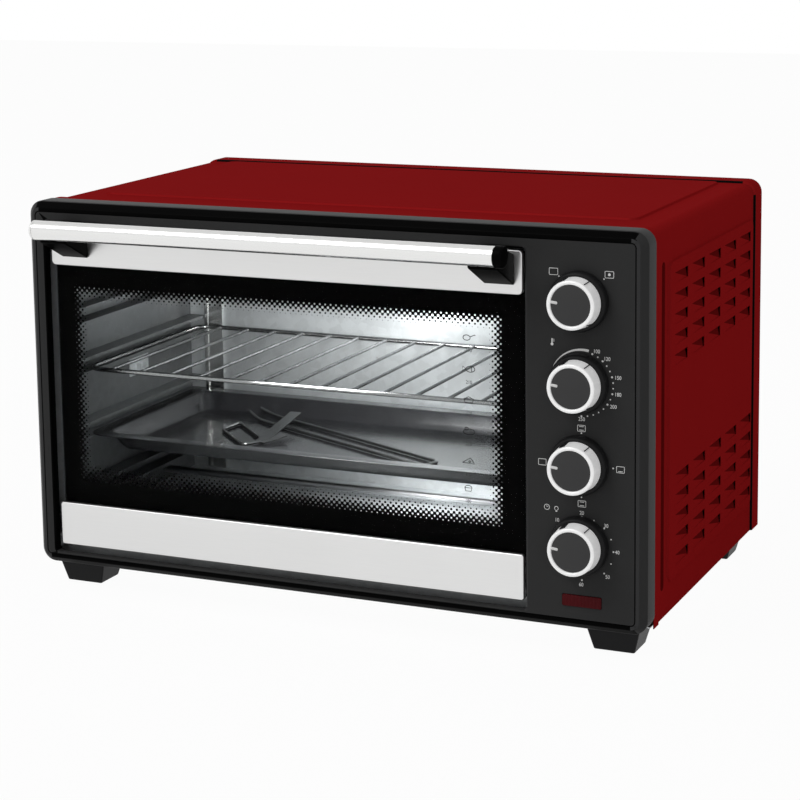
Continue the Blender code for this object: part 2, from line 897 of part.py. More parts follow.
def make_pilot_lamp(chassis, lens_finish, black):
    """The pilot lamp's lens through the panel, and its holder behind."""
    back = sheet + fit_gap
    left, right, low, high = lamp_edges(0)
    bm = bmesh.new()
    edge = lamp_stand / 2
    loops = []
    for inset, depth in ((0, sheet), (0, edge - lamp_stand), (edge, -lamp_stand)):
        sides = (left + inset, right - inset, low + inset, high - inset)
        loops.append(facing(rounded_outline(*sides, lamp_stand - inset), depth))
    add_loft(bm, loops)
    add_piece("pilot_lamp_lens", bm, lens_finish, chassis)
    left, right, low, high = lamp_edges(lamp_holder_margin)
    bm = bmesh.new()
    add_box(bm, (left, back, low), (right, back + lamp_holder_depth, high))
    add_piece("pilot_lamp_holder", bm, black, chassis)


def upper_strip_low():
    """Height of the upper strip's lower edge."""
    return door_top - upper_strip_height


def lower_strip_high():
    """Height of the lower strip's upper edge."""
    return door_bottom + lower_strip_height


def make_door_frame(door, black):
    """The door's sheet channel round its window, packed out behind both strips, with holes for its pins."""
    back = door_channel_front + door_channel_depth
    window_low = lower_strip_high() + window_lap
    window_high = upper_strip_low() - window_lap

    def outer(inset):
        sides = (door_left + inset, door_right - inset, door_bottom + inset, door_top - inset)
        return rounded_outline(*sides, opening_corner_radius - inset)

    def window(grown):
        sides = (door_left + window_left_margin - grown, door_right - window_right_margin + grown)
        return rounded_outline(*sides, window_low - grown, window_high + grown, window_corner_radius + grown)

    bm = bmesh.new()
    loops = [
        facing(outer(0), door_channel_front),
        facing(outer(0), back),
        facing(outer(sheet), back),
        facing(outer(sheet), door_channel_front + sheet),
        facing(window(sheet), door_channel_front + sheet),
        facing(window(sheet), back),
        facing(window(0), back),
        facing(window(0), door_channel_front),
    ]
    add_loft(bm, loops, ring=True)
    frame = add_piece("door_frame", bm, black, door)
    front = door_recess + strip_sheet + fit_gap
    root = door_channel_front + sheet / 2
    inner = strip_sheet + fit_gap
    packing = bmesh.new()
    for low, high in (
        (upper_strip_low() + glass_lap + fit_gap, door_top - inner),
        (door_bottom + inner, lower_strip_high() - glass_lap - fit_gap),
    ):
        add_box(packing, (door_left + fit_gap, front, low), (door_right - fit_gap, root, high))
    shape_with(frame, packing, "UNION")
    holes = bmesh.new()
    radius = hinge_pin_radius + fit_gap
    for edge in (door_left, door_right):
        reach = hinge_pin_reach + overrun
        profile = ((radius, edge - reach), (radius, edge + reach))
        add_turned(holes, profile, (0, hinge_depth, hinge_z), axis="X", steps=round_steps // 2)
    shape_with(frame, holes, "DIFFERENCE")


def make_strips(door, brushed):
    """The bright strips above and below the glass, folded back over the door's edges."""
    folded_to = door_channel_front - fit_gap
    stopped_at = glass_recess - fit_gap
    front = door_recess
    behind = door_recess + strip_sheet
    for name, low, high, over, under in (
        ("door_strip_upper", upper_strip_low(), door_top, folded_to, stopped_at),
        ("door_strip_lower", door_bottom, lower_strip_high(), stopped_at, folded_to),
    ):
        profile = (
            (front, low),
            (front, high),
            (over, high),
            (over, high - strip_sheet),
            (behind, high - strip_sheet),
            (behind, low + strip_sheet),
            (under, low + strip_sheet),
            (under, low),
        )
        bm = bmesh.new()
        add_loft(bm, [sideways(profile, door_left), sideways(profile, door_right)])
        add_piece(name, bm, brushed, door)


def make_glass(door, glass):
    """The door's pane, held behind the edges of both strips."""
    left = door_left + glass_side_inset
    right = door_right - glass_side_inset
    low = lower_strip_high() - glass_lap
    high = upper_strip_low() + glass_lap
    bm = bmesh.new()
    add_box(bm, (left, glass_recess, low), (right, glass_recess + glass_thickness, high))
    add_piece("door_glass", bm, glass, door)


def make_hinges(chassis, door, steel):
    """The door's two pins and the bored plates that they turn in, fixed to the cavity's surround."""
    rear = surround_depth - fit_gap
    places = ((-1, "left", door_left, opening_left), (1, "right", door_right, opening_right))
    for side, name, edge, opening in places:
        inner = edge - side * hinge_pin_reach
        outer = edge + side * hinge_pin_reach
        bm = bmesh.new()
        profile = ((hinge_pin_radius, inner), (hinge_pin_radius, outer))
        add_turned(bm, profile, (0, hinge_depth, hinge_z), axis="X", steps=round_steps)
        add_piece(f"hinge_pin_{name}", bm, steel, door)
        near = opening + side * hinge_plate_gap
        far = near + side * sheet
        bm = bmesh.new()
        low = (min(near, far), hinge_plate_front, hinge_z - hinge_plate_height / 2)
        add_box(bm, low, (max(near, far), rear, hinge_z + hinge_plate_height / 2))
        plate = add_piece(f"hinge_plate_{name}", bm, steel, chassis)
        bore = bmesh.new()
        radius = hinge_pin_radius + running_gap
        profile = ((radius, near - sheet - overrun), (radius, near + sheet + overrun))
        add_turned(bore, profile, (0, hinge_depth, hinge_z), axis="X", steps=round_steps)
        shape_with(plate, bore, "DIFFERENCE")


def make_handle(door, bright, black):
    """The tubular handle with its end caps, on two moulded brackets that rise from the upper strip."""
    centre = (0, bar_axis_y, bar_axis_z)
    bore = bar_radius - bar_wall
    bm = bmesh.new()
    profile = ((bar_radius, bar_left), (bar_radius, bar_right), (bore, bar_right), (bore, bar_left))
    add_turned(bm, profile, centre, axis="X", ring=True)
    add_piece("handle_bar", bm, bright, door)
    plug = bore - fit_gap
    for name, material, end, side, head, length in (
        ("left", bright, bar_left, -1, bar_radius, left_cap_length),
        ("right", black, bar_right, 1, cap_head_radius, cap_head_length),
    ):
        seat = end + side * fit_gap
        edge = min(cap_edge, length / 2)
        profile = (
            (plug, end - side * cap_plug_length),
            (plug, seat),
            (head, seat),
            (head, seat + side * (length - edge)),
            (head - edge, seat + side * length),
        )
        bm = bmesh.new()
        add_turned(bm, profile, centre, axis="X")
        add_piece(f"handle_cap_{name}", bm, material, door)
    root = door_recess - fit_gap
    profile = (
        (root, upper_strip_low() + bracket_root_bottom_rise),
        (root, door_top - bracket_root_top_drop),
        (-bracket_top_reach, bar_axis_z + bracket_top_rise),
        (-bracket_tip_reach, bar_axis_z + bracket_top_rise),
        (-bracket_tip_reach, bar_axis_z - bracket_tip_drop),
    )
    for name, left in (("left", bar_left), ("right", bar_right - bracket_width)):
        bm = bmesh.new()
        add_loft(bm, [sideways(profile, left), sideways(profile, left + bracket_width)])
        bracket = add_piece(f"handle_bracket_{name}", bm, black, door)
        seat = bmesh.new()
        radius = bar_radius + fit_gap
        ends = ((radius, left - overrun), (radius, left + bracket_width + overrun))
        add_turned(seat, ends, centre, axis="X")
        shape_with(bracket, seat, "DIFFERENCE")


def make_rack(rack, wire):
    """The wire rack: a rail bent round four corners, with bars from front to back."""
    left = cavity_left + rack_side_gap
    right = cavity_right - rack_side_gap
    rear = cavity_depth - emboss_height - rack_rear_gap
    corners = ((right, rack_front_depth), (right, rear), (left, rear), (left, rack_front_depth))
    bm = bmesh.new()
    path = filleted(lying(corners, rack_z), rack_corner_radius, closed=True)
    add_wire(bm, path, rack_wire_radius, closed=True)
    rail = add_piece("wire_rack", bm, wire, rack)
    bars = bmesh.new()
    for row in range(rack_bar_count):
        across = left + (right - left) * (rack_first_bar_share + rack_bar_pitch_share * row)
        path = lying(((across, rack_front_depth), (across, rear)), rack_z)
        add_wire(bars, path, rack_bar_radius)
    shape_with(rail, bars, "UNION")


def tray_edges():
    """Left, right, front and rear of the tray's rim."""
    rear = cavity_depth - emboss_height - tray_rear_gap
    return cavity_left + tray_side_gap, cavity_right - tray_side_gap, tray_front_depth, rear


def make_tray(tray, enamel):
    """The baking tray: a flat rim round a basin with flared walls."""
    left, right, front, rear = tray_edges()

    def outline(inset, radius, height):
        return lying(rounded_outline(left + inset, right - inset, front + inset, rear - inset, radius), height)

    under = tray_rim_width - tray_sheet
    bm = bmesh.new()
    loops = [
        outline(tray_rim_width + tray_flare, tray_corner_radius, tray_floor_z),
        outline(tray_rim_width, tray_corner_radius, tray_rim_z),
        outline(0, tray_rim_radius, tray_rim_z),
        outline(0, tray_rim_radius, tray_rim_z - tray_sheet),
        outline(under, tray_corner_radius + tray_sheet, tray_rim_z - tray_sheet),
        outline(under + tray_flare, tray_corner_radius + tray_sheet, tray_floor_z - tray_sheet),
    ]
    add_loft(bm, loops)
    add_piece("baking_tray", bm, enamel, tray)


def in_tray(across_share, depth_share, rise):
    """A place over the tray's floor, from shares of the rim's width and length."""
    left, right, front, rear = tray_edges()
    across = left + across_share * (right - left)
    return Vector((across, front + depth_share * (rear - front), tray_floor_z + tool_lift + rise))


def add_strip(bm, start, end, width, thickness):
    """A flat bar between two points, lying as level as its slope lets it."""
    along = (end - start).normalized()
    across = along.cross(Vector((0, 0, 1))).normalized() * width / 2
    up = across.cross(along).normalized() * thickness / 2
    section = (across + up, up - across, -across - up, across - up)
    add_loft(bm, [[place + corner for corner in section] for place in (start, end)])


lifter_near_shares = ((0.188, 0.800), (0.215, 0.765), (0.239, 0.727), (0.725, 0.256))
lifter_far_shares = ((0.197, 0.877), (0.230, 0.862), (0.256, 0.827), (0.740, 0.345))
lifter_tip_rise = 0.004
grip_corner_shares = ((0.199, 0.662), (0.192, 0.521), (0.2975, 0.306), (0.323, 0.401))
jaw_root_share = (0.322, 0.375)
jaw_tip_share = (0.322, 0.727)
jaw_tip_rise = 0.0125
jaw_foot_share = (0.353, 0.480)
jaw_foot_rise = 0.0045


def make_tools(tray, bright):
    """The two loose tools lying in the tray: the spit lifter's long fork and the tray's lifting handle."""
    wire_rise = tool_wire_radius
    near = [in_tray(*share, wire_rise) for share in lifter_near_shares]
    far = [in_tray(*share, wire_rise) for share in lifter_far_shares]
    for tine in (near, far):
        tine[0].z += lifter_tip_rise
    bm = bmesh.new()
    path = filleted(near + far[::-1], tool_bend_radius)
    add_wire(bm, path, tool_wire_radius)
    add_piece("spit_lifter", bm, bright, tray)
    corners = [in_tray(*share, wire_rise) for share in grip_corner_shares]
    bm = bmesh.new()
    add_wire(bm, filleted(corners, tool_bend_radius, closed=True), tool_wire_radius, closed=True)
    handle = add_piece("tray_lifter", bm, bright, tray)
    root = in_tray(*jaw_root_share, wire_rise)
    for share, rise in ((jaw_tip_share, jaw_tip_rise), (jaw_foot_share, jaw_foot_rise)):
        jaw = bmesh.new()
        add_strip(jaw, root, in_tray(*share, rise), tool_plate_width, tool_plate_thickness)
        shape_with(handle, jaw, "UNION")


def make_rotisserie(chassis, spit, steel, galvanised):
    """The spit's drive socket and its motor behind the right wall, and the notched rest on the left wall."""
    face = cavity_right - fit_gap
    tail = partition_x + sheet + fit_gap + socket_tail_length
    profile = (
        (socket_head_radius, face - socket_head_length),
        (socket_head_radius, face),
        (socket_shaft_radius, face),
        (socket_shaft_radius, tail),
    )
    bm = bmesh.new()
    add_turned(bm, profile, (0, spit_depth, spit_z), axis="X")
    socket = add_piece("spit_socket", bm, steel, spit)
    recess = bmesh.new()
    half = socket_recess_width / 2
    low = (face - socket_head_length - overrun, spit_depth - half, spit_z - half)
    high = (face - socket_head_length + socket_recess_depth, spit_depth + half, spit_z + half)
    add_box(recess, low, high)
    shape_with(socket, recess, "DIFFERENCE")
    near = partition_x + sheet + fit_gap
    bm = bmesh.new()
    low = (near, spit_depth - motor_length / 2, spit_z - motor_height / 2)
    add_box(bm, low, (near + motor_width, spit_depth + motor_length / 2, spit_z + motor_height / 2))
    motor = add_piece("spit_motor", bm, steel, chassis)
    bore = bmesh.new()
    radius = socket_shaft_radius + running_gap
    add_turned(bore, ((radius, near - overrun), (radius, tail + fit_gap)), (0, spit_depth, spit_z), axis="X")
    shape_with(motor, bore, "DIFFERENCE")
    near = cavity_left + fit_gap
    far = near + support_thickness
    bm = bmesh.new()
    low = (near, spit_depth - support_length / 2, spit_z - support_height / 2)
    add_box(bm, low, (far, spit_depth + support_length / 2, spit_z + support_height / 2))
    rest = add_piece("spit_rest", bm, galvanised, chassis)
    arm = bmesh.new()
    half = support_notch_radius + support_thickness
    low = (near + support_thickness / 2, spit_depth - half, spit_z - half)
    add_box(arm, low, (near + support_arm_reach, spit_depth + half, spit_z))
    shape_with(rest, arm, "UNION")
    notch = bmesh.new()
    profile = ((support_notch_radius, far), (support_notch_radius, near + support_arm_reach + overrun))
    add_turned(notch, profile, (0, spit_depth, spit_z), axis="X")
    shape_with(rest, notch, "DIFFERENCE")


def main():
    for existing in list(bpy.data.objects):
        bpy.data.objects.remove(existing)
    black = finish("satin_black", (0.035, 0.035, 0.037), 0.45, 0.0)
    red = finish("metallic_red", (0.32, 0.006, 0.010), 0.35, 0.4)
    dark = finish("dark_sheet", (0.05, 0.05, 0.05), 0.5, 0.5)
    galvanised = finish("galvanised_sheet", (0.42, 0.45, 0.46), 0.4, 0.9)
    steel = finish("plain_steel", (0.55, 0.55, 0.56), 0.35, 1.0)
    brushed = finish("brushed_steel", (0.62, 0.62, 0.63), 0.35, 1.0)
    bright = finish("bright_steel", (0.75, 0.75, 0.76), 0.18, 1.0)
    chrome = finish("chrome_ring", (0.80, 0.80, 0.82), 0.12, 1.0)
    enamel = finish("dark_enamel", (0.02, 0.02, 0.022), 0.25, 0.2)
    glass = finish("door_pane", (0.04, 0.04, 0.045), 0.05, 0.0)
    lens = finish("red_lens", (0.20, 0.01, 0.015), 0.2, 0.0)
    datum = axis_empty("face_datum", (0, front_y, 0), None)
    chassis = axis_empty("chassis", (0, 0, 0), datum)
    door = axis_empty("door_axis", (0, hinge_depth, hinge_z), datum)
    rack = axis_empty("rack_slide", (0, 0, 0), datum)
    tray = axis_empty("tray_slide", (0, 0, 0), datum)
    spit = axis_empty("spit_axis", (0, spit_depth, spit_z), datum)
    knobs = {key: axis_empty(f"{key}_axis", (knob_x, 0, height), datum) for key, height in knob_places()}
    make_front_frame(chassis, black)
    make_cover(chassis, red)
    make_back_panel(chassis, dark)
    make_gland(chassis, black)
    make_base(chassis, galvanised)
    make_feet(chassis, black)
    make_surround(chassis, galvanised)
    make_cavity(chassis, galvanised)
    make_partition(chassis, galvanised)
    make_heaters(chassis, steel)
    make_switch_bodies(chassis, dark)
    make_controls(knobs, black, chrome, steel)
    make_pilot_lamp(chassis, lens, black)
    make_door_frame(door, black)
    make_strips(door, brushed)
    make_glass(door, glass)
    make_hinges(chassis, door, steel)
    make_handle(door, bright, black)
    make_rack(rack, bright)
    make_tray(tray, enamel)
    make_tools(tray, bright)
    make_rotisserie(chassis, spit, steel, galvanised)


main()
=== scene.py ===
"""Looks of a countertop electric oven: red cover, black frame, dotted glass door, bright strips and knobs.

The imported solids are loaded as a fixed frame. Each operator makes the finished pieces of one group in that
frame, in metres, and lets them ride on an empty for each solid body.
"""

import math

import bmesh
import bpy
from mathutils import Matrix, Vector


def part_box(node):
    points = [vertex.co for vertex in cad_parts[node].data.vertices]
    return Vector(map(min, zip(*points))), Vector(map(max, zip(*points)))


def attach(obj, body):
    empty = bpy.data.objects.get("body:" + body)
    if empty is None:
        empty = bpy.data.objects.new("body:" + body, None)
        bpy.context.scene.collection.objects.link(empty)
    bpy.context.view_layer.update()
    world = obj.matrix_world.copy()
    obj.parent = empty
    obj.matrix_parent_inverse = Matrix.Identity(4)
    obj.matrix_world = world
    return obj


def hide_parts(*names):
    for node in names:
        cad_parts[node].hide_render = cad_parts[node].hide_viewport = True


bl_info = {
    "name": "Countertop Oven",
    "version": (1, 0, 0),
    "blender": (4, 5, 0),
    "location": "View3D > Sidebar > Oven",
    "description": "Finished pieces and studio for a countertop electric oven",
    "category": "Object",
}

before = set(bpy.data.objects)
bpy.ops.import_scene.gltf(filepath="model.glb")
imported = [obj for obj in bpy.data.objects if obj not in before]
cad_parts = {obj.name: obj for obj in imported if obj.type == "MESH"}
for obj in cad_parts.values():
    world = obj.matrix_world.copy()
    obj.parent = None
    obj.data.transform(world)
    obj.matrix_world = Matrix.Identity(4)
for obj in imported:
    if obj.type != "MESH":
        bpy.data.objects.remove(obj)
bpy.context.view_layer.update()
FACE_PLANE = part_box("front_frame")[0].y
CONTROLS = ("function", "thermostat", "heat", "timer")


# Places, given across from the middle, in depth behind the frame's flat face, and up from the table


def at(across, depth, up):
    """A point from its place across, its depth behind the frame's face and its height."""
    return Vector((across, FACE_PLANE + depth, up))


def span(node):
    """Left, right, front, rear, bottom and top of a solid."""
    low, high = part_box(node)
    return low.x, high.x, low.y - FACE_PLANE, high.y - FACE_PLANE, low.z, high.z


def facing(depth):
    """Puts a pair, across and up, upright at a depth."""
    return lambda across, up: at(across, depth, up)


def lying(height):
    """Puts a pair, across and depth, flat at a height."""
    return lambda across, depth: at(across, depth, height)


def sideways(across):
    """Puts a pair, depth and up, in the upright plane at one place across."""
    return lambda depth, up: at(across, depth, up)


def grown(sides, by):
    """Left, right, low and high of a rectangle, each moved outwards."""
    left, right, low, high = sides
    return left - by, right + by, low - by, high + by


def within(sides, margins):
    """Left, right, low and high of a rectangle that leaves its own margin on each side."""
    left, right, low, high = sides
    return left + margins[0], right - margins[1], low + margins[2], high - margins[3]


def knob_centre(key):
    """The point on a control's axis in the plane of the frame's face."""
    low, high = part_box(f"knob_{key}")
    return at((low.x + high.x) / 2, 0, (low.z + high.z) / 2)


# Shapes


def rounded_face(bm, sides, radius, put, steps=6, rounded=(0, 1, 2, 3)):
    """A flat rectangle, given as left, right, low and high, with the chosen corners rounded."""
    left, right, low, high = sides
    pairs = ((left, low), (right, low), (right, high), (left, high))
    corners = [bm.verts.new(put(*pair)) for pair in pairs]
    face = bm.faces.new(corners)
    if radius <= 0:
        return face
    made = bmesh.ops.bevel(
        bm,
        geom=[corners[index] for index in rounded],
        offset=radius,
        offset_type="OFFSET",
        affect="VERTICES",
        segments=steps,
        profile=0.5,
        material=-1,
    )
    return made["verts"][0].link_faces[0]


def rim_of(bm, face):
    """Takes a face away and gives the edges that it leaves."""
    edges = list(face.edges)
    bmesh.ops.delete(bm, geom=[face], context="FACES_ONLY")
    return edges


def upright_rim(bm, sides, radius, inset, depth, steps=6):
    """A rim upright at a depth, set in by some on every side."""
    return rim_of(bm, rounded_face(bm, grown(sides, -inset), radius - inset, facing(depth), steps=steps))


def middle_of(rim):
    """The middle of a rim's points."""
    points = {vertex for edge in rim for vertex in edge.verts}
    return sum((vertex.co for vertex in points), Vector()) / len(points)


def skin(bm, rims):
    """Joins each rim to the next: by a bridge, or by a flat ring where both lie in one plane."""
    for first, second in zip(rims, rims[1:]):
        if (middle_of(first) - middle_of(second)).length < 1e-6:
            fill(bm, [first, second])
        else:
            bmesh.ops.bridge_loops(bm, edges=first + second)


def fill(bm, rims):
    """Fills a flat region between an outer rim and the rims of its holes."""
    edges = [edge for rim in rims for edge in rim]
    bmesh.ops.triangle_fill(bm, use_beauty=True, use_dissolve=False, edges=edges)


def closed_skin(bm, rims):
    """Joins a row of rims and fills the first and the last."""
    skin(bm, rims)
    fill(bm, [rims[0]])
    fill(bm, [rims[-1]])


def turned(bm, profile, centre, axis, steps=72, closed=False):
    """Spins a profile, pairs of radius and place along the axis, full round."""
    along = Vector((1, 0, 0)) if axis == "X" else Vector((0, 1, 0))
    points = [bm.verts.new(centre + along * place + Vector((0, 0, radius))) for radius, place in profile]
    edges = [bm.edges.new(pair) for pair in zip(points, points[1:])]
    if closed:
        edges.append(bm.edges.new((points[-1], points[0])))
    bmesh.ops.spin(
        bm, geom=points + edges, cent=centre, axis=along, angle=2 * math.pi, steps=steps, use_merge=True
    )
    bmesh.ops.remove_doubles(bm, verts=bm.verts, dist=1e-6)


def add_block(bm, low, high):
    """A box between two corners."""
    low, high = Vector(low), Vector(high)
    place = Matrix.Translation((low + high) / 2) @ Matrix.Diagonal((*(high - low), 1))
    return bmesh.ops.create_cube(bm, size=1, matrix=place)["verts"]


def add_wires(bm, paths, radius, closed=False, sides=4):
    """Round wire along each path of points."""
    curve = bpy.data.curves.new("wire path", "CURVE")
    curve.dimensions = "3D"
    curve.bevel_depth = radius
    curve.bevel_resolution = sides
    curve.use_fill_caps = True
    for path in paths:
        spline = curve.splines.new("POLY")
        spline.points.add(len(path) - 1)
        for point, place in zip(spline.points, path):
            point.co = (*place, 1)
        spline.use_cyclic_u = closed
    holder = bpy.data.objects.new("wire path", curve)
    mesh = bpy.data.meshes.new_from_object(holder)
    bm.from_mesh(mesh)
    bpy.data.objects.remove(holder)
    bpy.data.curves.remove(curve)
    bpy.data.meshes.remove(mesh)


def bent(points, radius, steps=5):
    """A path of points with its inner corners rounded."""
    path = [points[0]]
    for before, corner, after in zip(points, points[1:], points[2:]):
        into, out = (before - corner), (after - corner)
        reach = min(radius, into.length * 0.45, out.length * 0.45)
        start, end = corner + into.normalized() * reach, corner + out.normalized() * reach
        for step in range(steps + 1):
            share = step / steps
            path.append(start.lerp(corner, share).lerp(corner.lerp(end, share), share))
    path.append(points[-1])
    return path


def finished(
    name, bm, body, slot, material, replaced=(), edge=0.0, edge_steps=2, sharp=28, thickness=0.0
):
    """Makes the drawn mesh a piece that rides on a body, with soft edges and, for a sheet, its thickness."""
    if not thickness:
        bmesh.ops.recalc_face_normals(bm, faces=bm.faces)
    for face in bm.faces:
        face.smooth = True
    mesh = bpy.data.meshes.new(name)
    bm.to_mesh(mesh)
    bm.free()
    mesh.set_sharp_from_angle(angle=math.radians(sharp))
    mesh.materials.append(material)
    piece = bpy.data.objects.new(name, mesh)
    bpy.context.scene.collection.objects.link(piece)
    if thickness:
        wall = piece.modifiers.new("Sheet", "SOLIDIFY")
        wall.thickness = thickness
        wall.offset = -1
    if edge:
        soften = piece.modifiers.new("Soft edges", "BEVEL")
        soften.width = edge
        soften.segments = edge_steps
        soften.limit_method = "ANGLE"
        soften.angle_limit = math.radians(sharp)
        soften.harden_normals = True
        soften.use_clamp_overlap = False
    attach(piece, body)
    if replaced:
        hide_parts(*replaced)
    return piece


def softened(node, body, slot, material, edge, name=None, edge_steps=2, sharp=28):
    """A copy of a solid with its triangles merged and its edges rounded, in place of the solid."""
    bm = bmesh.new()
    bm.from_mesh(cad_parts[node].data)
    bmesh.ops.remove_doubles(bm, verts=bm.verts, dist=2e-6)
    bmesh.ops.dissolve_limit(bm, angle_limit=math.radians(1), verts=bm.verts, edges=bm.edges)
    return finished(name or f"{node}_finished", bm, body, slot, material, (node,), edge, edge_steps, sharp)


def refinish(material, *nodes):
    """Gives solids that keep their shape a finish."""
    for node in nodes:
        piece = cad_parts[node]
        for place in piece.material_slots:
            place.material = material


# Finishes


def put_node(tree, kind, sockets=None, **settings):
    """Adds a node, sets its own settings, and links or sets its input sockets."""
    made = tree.nodes.new(kind)
    for name, value in settings.items():
        setattr(made, name, value)
    for socket, value in (sockets or {}).items():
        if isinstance(value, bpy.types.NodeSocket):
            tree.links.new(value, made.inputs[socket])
        else:
            made.inputs[socket].default_value = value
    return made


def math_node(tree, operation, *values):
    """One math node's output."""
    return put_node(tree, "ShaderNodeMath", dict(enumerate(values)), operation=operation).outputs[0]


def new_group(name, inputs, outputs):
    """A node group with named sockets; gives the group and the outputs of its start node."""
    group = bpy.data.node_groups.new(name, "ShaderNodeTree")
    for label, kind, default in inputs:
        socket = group.interface.new_socket(label, in_out="INPUT", socket_type=f"NodeSocket{kind}")
        socket.default_value = default
    for label, kind in outputs:
        group.interface.new_socket(label, in_out="OUTPUT", socket_type=f"NodeSocket{kind}")
    return group, group.nodes.new("NodeGroupInput").outputs


def end_group(group, **outputs):
    """Links the values that the group puts out."""
    end = group.nodes.new("NodeGroupOutput")
    for label, value in outputs.items():
        group.links.new(value, end.inputs[label.replace("_", " ")])


def object_place(tree):
    """Coordinates that stay with the piece."""
    return put_node(tree, "ShaderNodeTexCoord").outputs["Object"]


def scaled_noise(tree, coordinates, scale, detail=2.0, roughness=0.5):
    """A noise value over coordinates, in features to the metre."""
    sockets = {"Vector": coordinates, "Scale": scale, "Detail": detail, "Roughness": roughness}
    return put_node(tree, "ShaderNodeTexNoise", sockets).outputs["Fac"]


def varied(tree, value, amount):
    """A noise value round a half turned into a factor round one."""
    return math_node(tree, "MULTIPLY_ADD", math_node(tree, "SUBTRACT", value, 0.5), amount, 1.0)


def tinted(tree, colour, factor):
    """A colour times a factor."""
    return put_node(tree, "ShaderNodeVectorMath", {0: colour, "Scale": factor}, operation="SCALE").outputs[0]


SURFACE_INPUTS = (
    ("Colour", "Color", (0.5, 0.5, 0.5, 1)),
    ("Roughness", "Float", 0.4),
    ("Tone", "Float", 0.15),
    ("Smudge", "Float", 0.2),
    ("Scale", "Float", 900.0),
    ("Stretch", "Vector", (1, 1, 1)),
)
SURFACE_OUTPUTS = (("Colour", "Color"), ("Roughness", "Float"), ("Height", "Float"))
BUMP_HEIGHT = 0.0001


def coat_group():
    """Sprayed or baked coat: fine orange peel, cloudy tone and faint handling smudges."""
    group, start = new_group("Coat Surface", SURFACE_INPUTS, SURFACE_OUTPUTS)
    place = object_place(group)
    peel = scaled_noise(group, place, start["Scale"], 3.0)
    cloud = scaled_noise(group, place, 7.0, 3.0, 0.6)
    speck = math_node(group, "SUBTRACT", scaled_noise(group, place, 2600.0, 1.0), 0.5)
    mottle = math_node(group, "ADD", cloud, math_node(group, "MULTIPLY", speck, 0.5))
    tone = varied(group, mottle, start["Tone"])
    smudge = varied(group, scaled_noise(group, place, 26.0, 4.0, 0.62), start["Smudge"])
    end_group(
        group,
        Colour=tinted(group, start["Colour"], tone),
        Roughness=math_node(group, "MULTIPLY", start["Roughness"], smudge),
        Height=peel,
    )
    return group


def brushed_group():
    """Brushed metal: long fine scratches along one direction, over a cloudy tone."""
    group, start = new_group("Brushed Surface", SURFACE_INPUTS, SURFACE_OUTPUTS)
    place = object_place(group)
    drawn = put_node(group, "ShaderNodeMapping", {"Vector": place, "Scale": start["Stretch"]}).outputs[0]
    streak = scaled_noise(group, drawn, start["Scale"], 3.0, 0.7)
    cloud = scaled_noise(group, place, 9.0, 2.0)
    tones = [varied(group, noise, start["Tone"]) for noise in (streak, cloud)]
    tone = math_node(group, "MULTIPLY", *tones)
    smudge = varied(group, scaled_noise(group, place, 30.0, 4.0, 0.62), start["Smudge"])
    smudged = math_node(group, "MULTIPLY", start["Roughness"], smudge)
    rough = math_node(group, "MULTIPLY", smudged, varied(group, streak, 0.35))
    end_group(group, Colour=tinted(group, start["Colour"], tone), Roughness=rough, Height=streak)
    return group


def zinc_group():
    """Galvanised sheet: faint crystals of zinc with dulled patches."""
    group, start = new_group("Zinc Surface", SURFACE_INPUTS, SURFACE_OUTPUTS)
    place = object_place(group)
    cells = put_node(group, "ShaderNodeTexVoronoi", {"Vector": place, "Scale": start["Scale"]})
    crystal = put_node(group, "ShaderNodeSeparateColor", {"Color": cells.outputs["Color"]}).outputs[0]
    dull = scaled_noise(group, place, 18.0, 4.0, 0.6)
    tones = [varied(group, noise, start["Tone"]) for noise in (crystal, dull)]
    tone = math_node(group, "MULTIPLY", *tones)
    rough = math_node(group, "MULTIPLY", start["Roughness"], varied(group, dull, start["Smudge"]))
    end_group(group, Colour=tinted(group, start["Colour"], tone), Roughness=rough, Height=dull)
    return group


def surface(kind):
    """The named surface group, built once."""
    builders = {"coat": coat_group, "brushed": brushed_group, "zinc": zinc_group}
    return bpy.data.node_groups.get(f"{kind.capitalize()} Surface") or builders[kind]()


def principled(material):
    """The inputs of a finish's Principled shader."""
    return material.node_tree.nodes["Principled BSDF"].inputs


def finish(name, kind, colour, roughness, metallic=0.0, bump=0.1, specular=0.5, coat=0.0, **sockets):
    """A finish made once: a surface group that feeds a Principled shader, with its height as a bump."""
    known = bpy.data.materials.get(name)
    if known:
        return known
    material = bpy.data.materials.new(name)
    material.use_nodes = True
    tree, shader = material.node_tree, principled(material)
    values = {"Colour": (*colour, 1), "Roughness": roughness}
    values.update({key.capitalize(): value for key, value in sockets.items()})
    face = put_node(tree, "ShaderNodeGroup", node_tree=surface(kind))
    for socket, value in values.items():
        face.inputs[socket].default_value = value
    relief = {"Height": face.outputs["Height"], "Strength": bump, "Distance": BUMP_HEIGHT}
    tree.links.new(face.outputs["Colour"], shader["Base Color"])
    tree.links.new(face.outputs["Roughness"], shader["Roughness"])
    tree.links.new(put_node(tree, "ShaderNodeBump", relief).outputs[0], shader["Normal"])
    shader["Metallic"].default_value = metallic
    shader["Specular IOR Level"].default_value = specular
    shader["Coat Weight"].default_value = coat
    shader["Coat Roughness"].default_value = 0.15
    return material


def red_paint():
    """Metallic red lacquer of the cover."""
    red = bpy.context.scene.oven_body.red
    look = {"metallic": 0.12, "bump": 0.12, "specular": 0.0, "tone": 0.1, "smudge": 0.12}
    made = finish("Red lacquer", "coat", red, 0.42, **look)
    principled(made)["Specular Tint"].default_value = (0.55, 0.05, 0.05, 1)
    return made


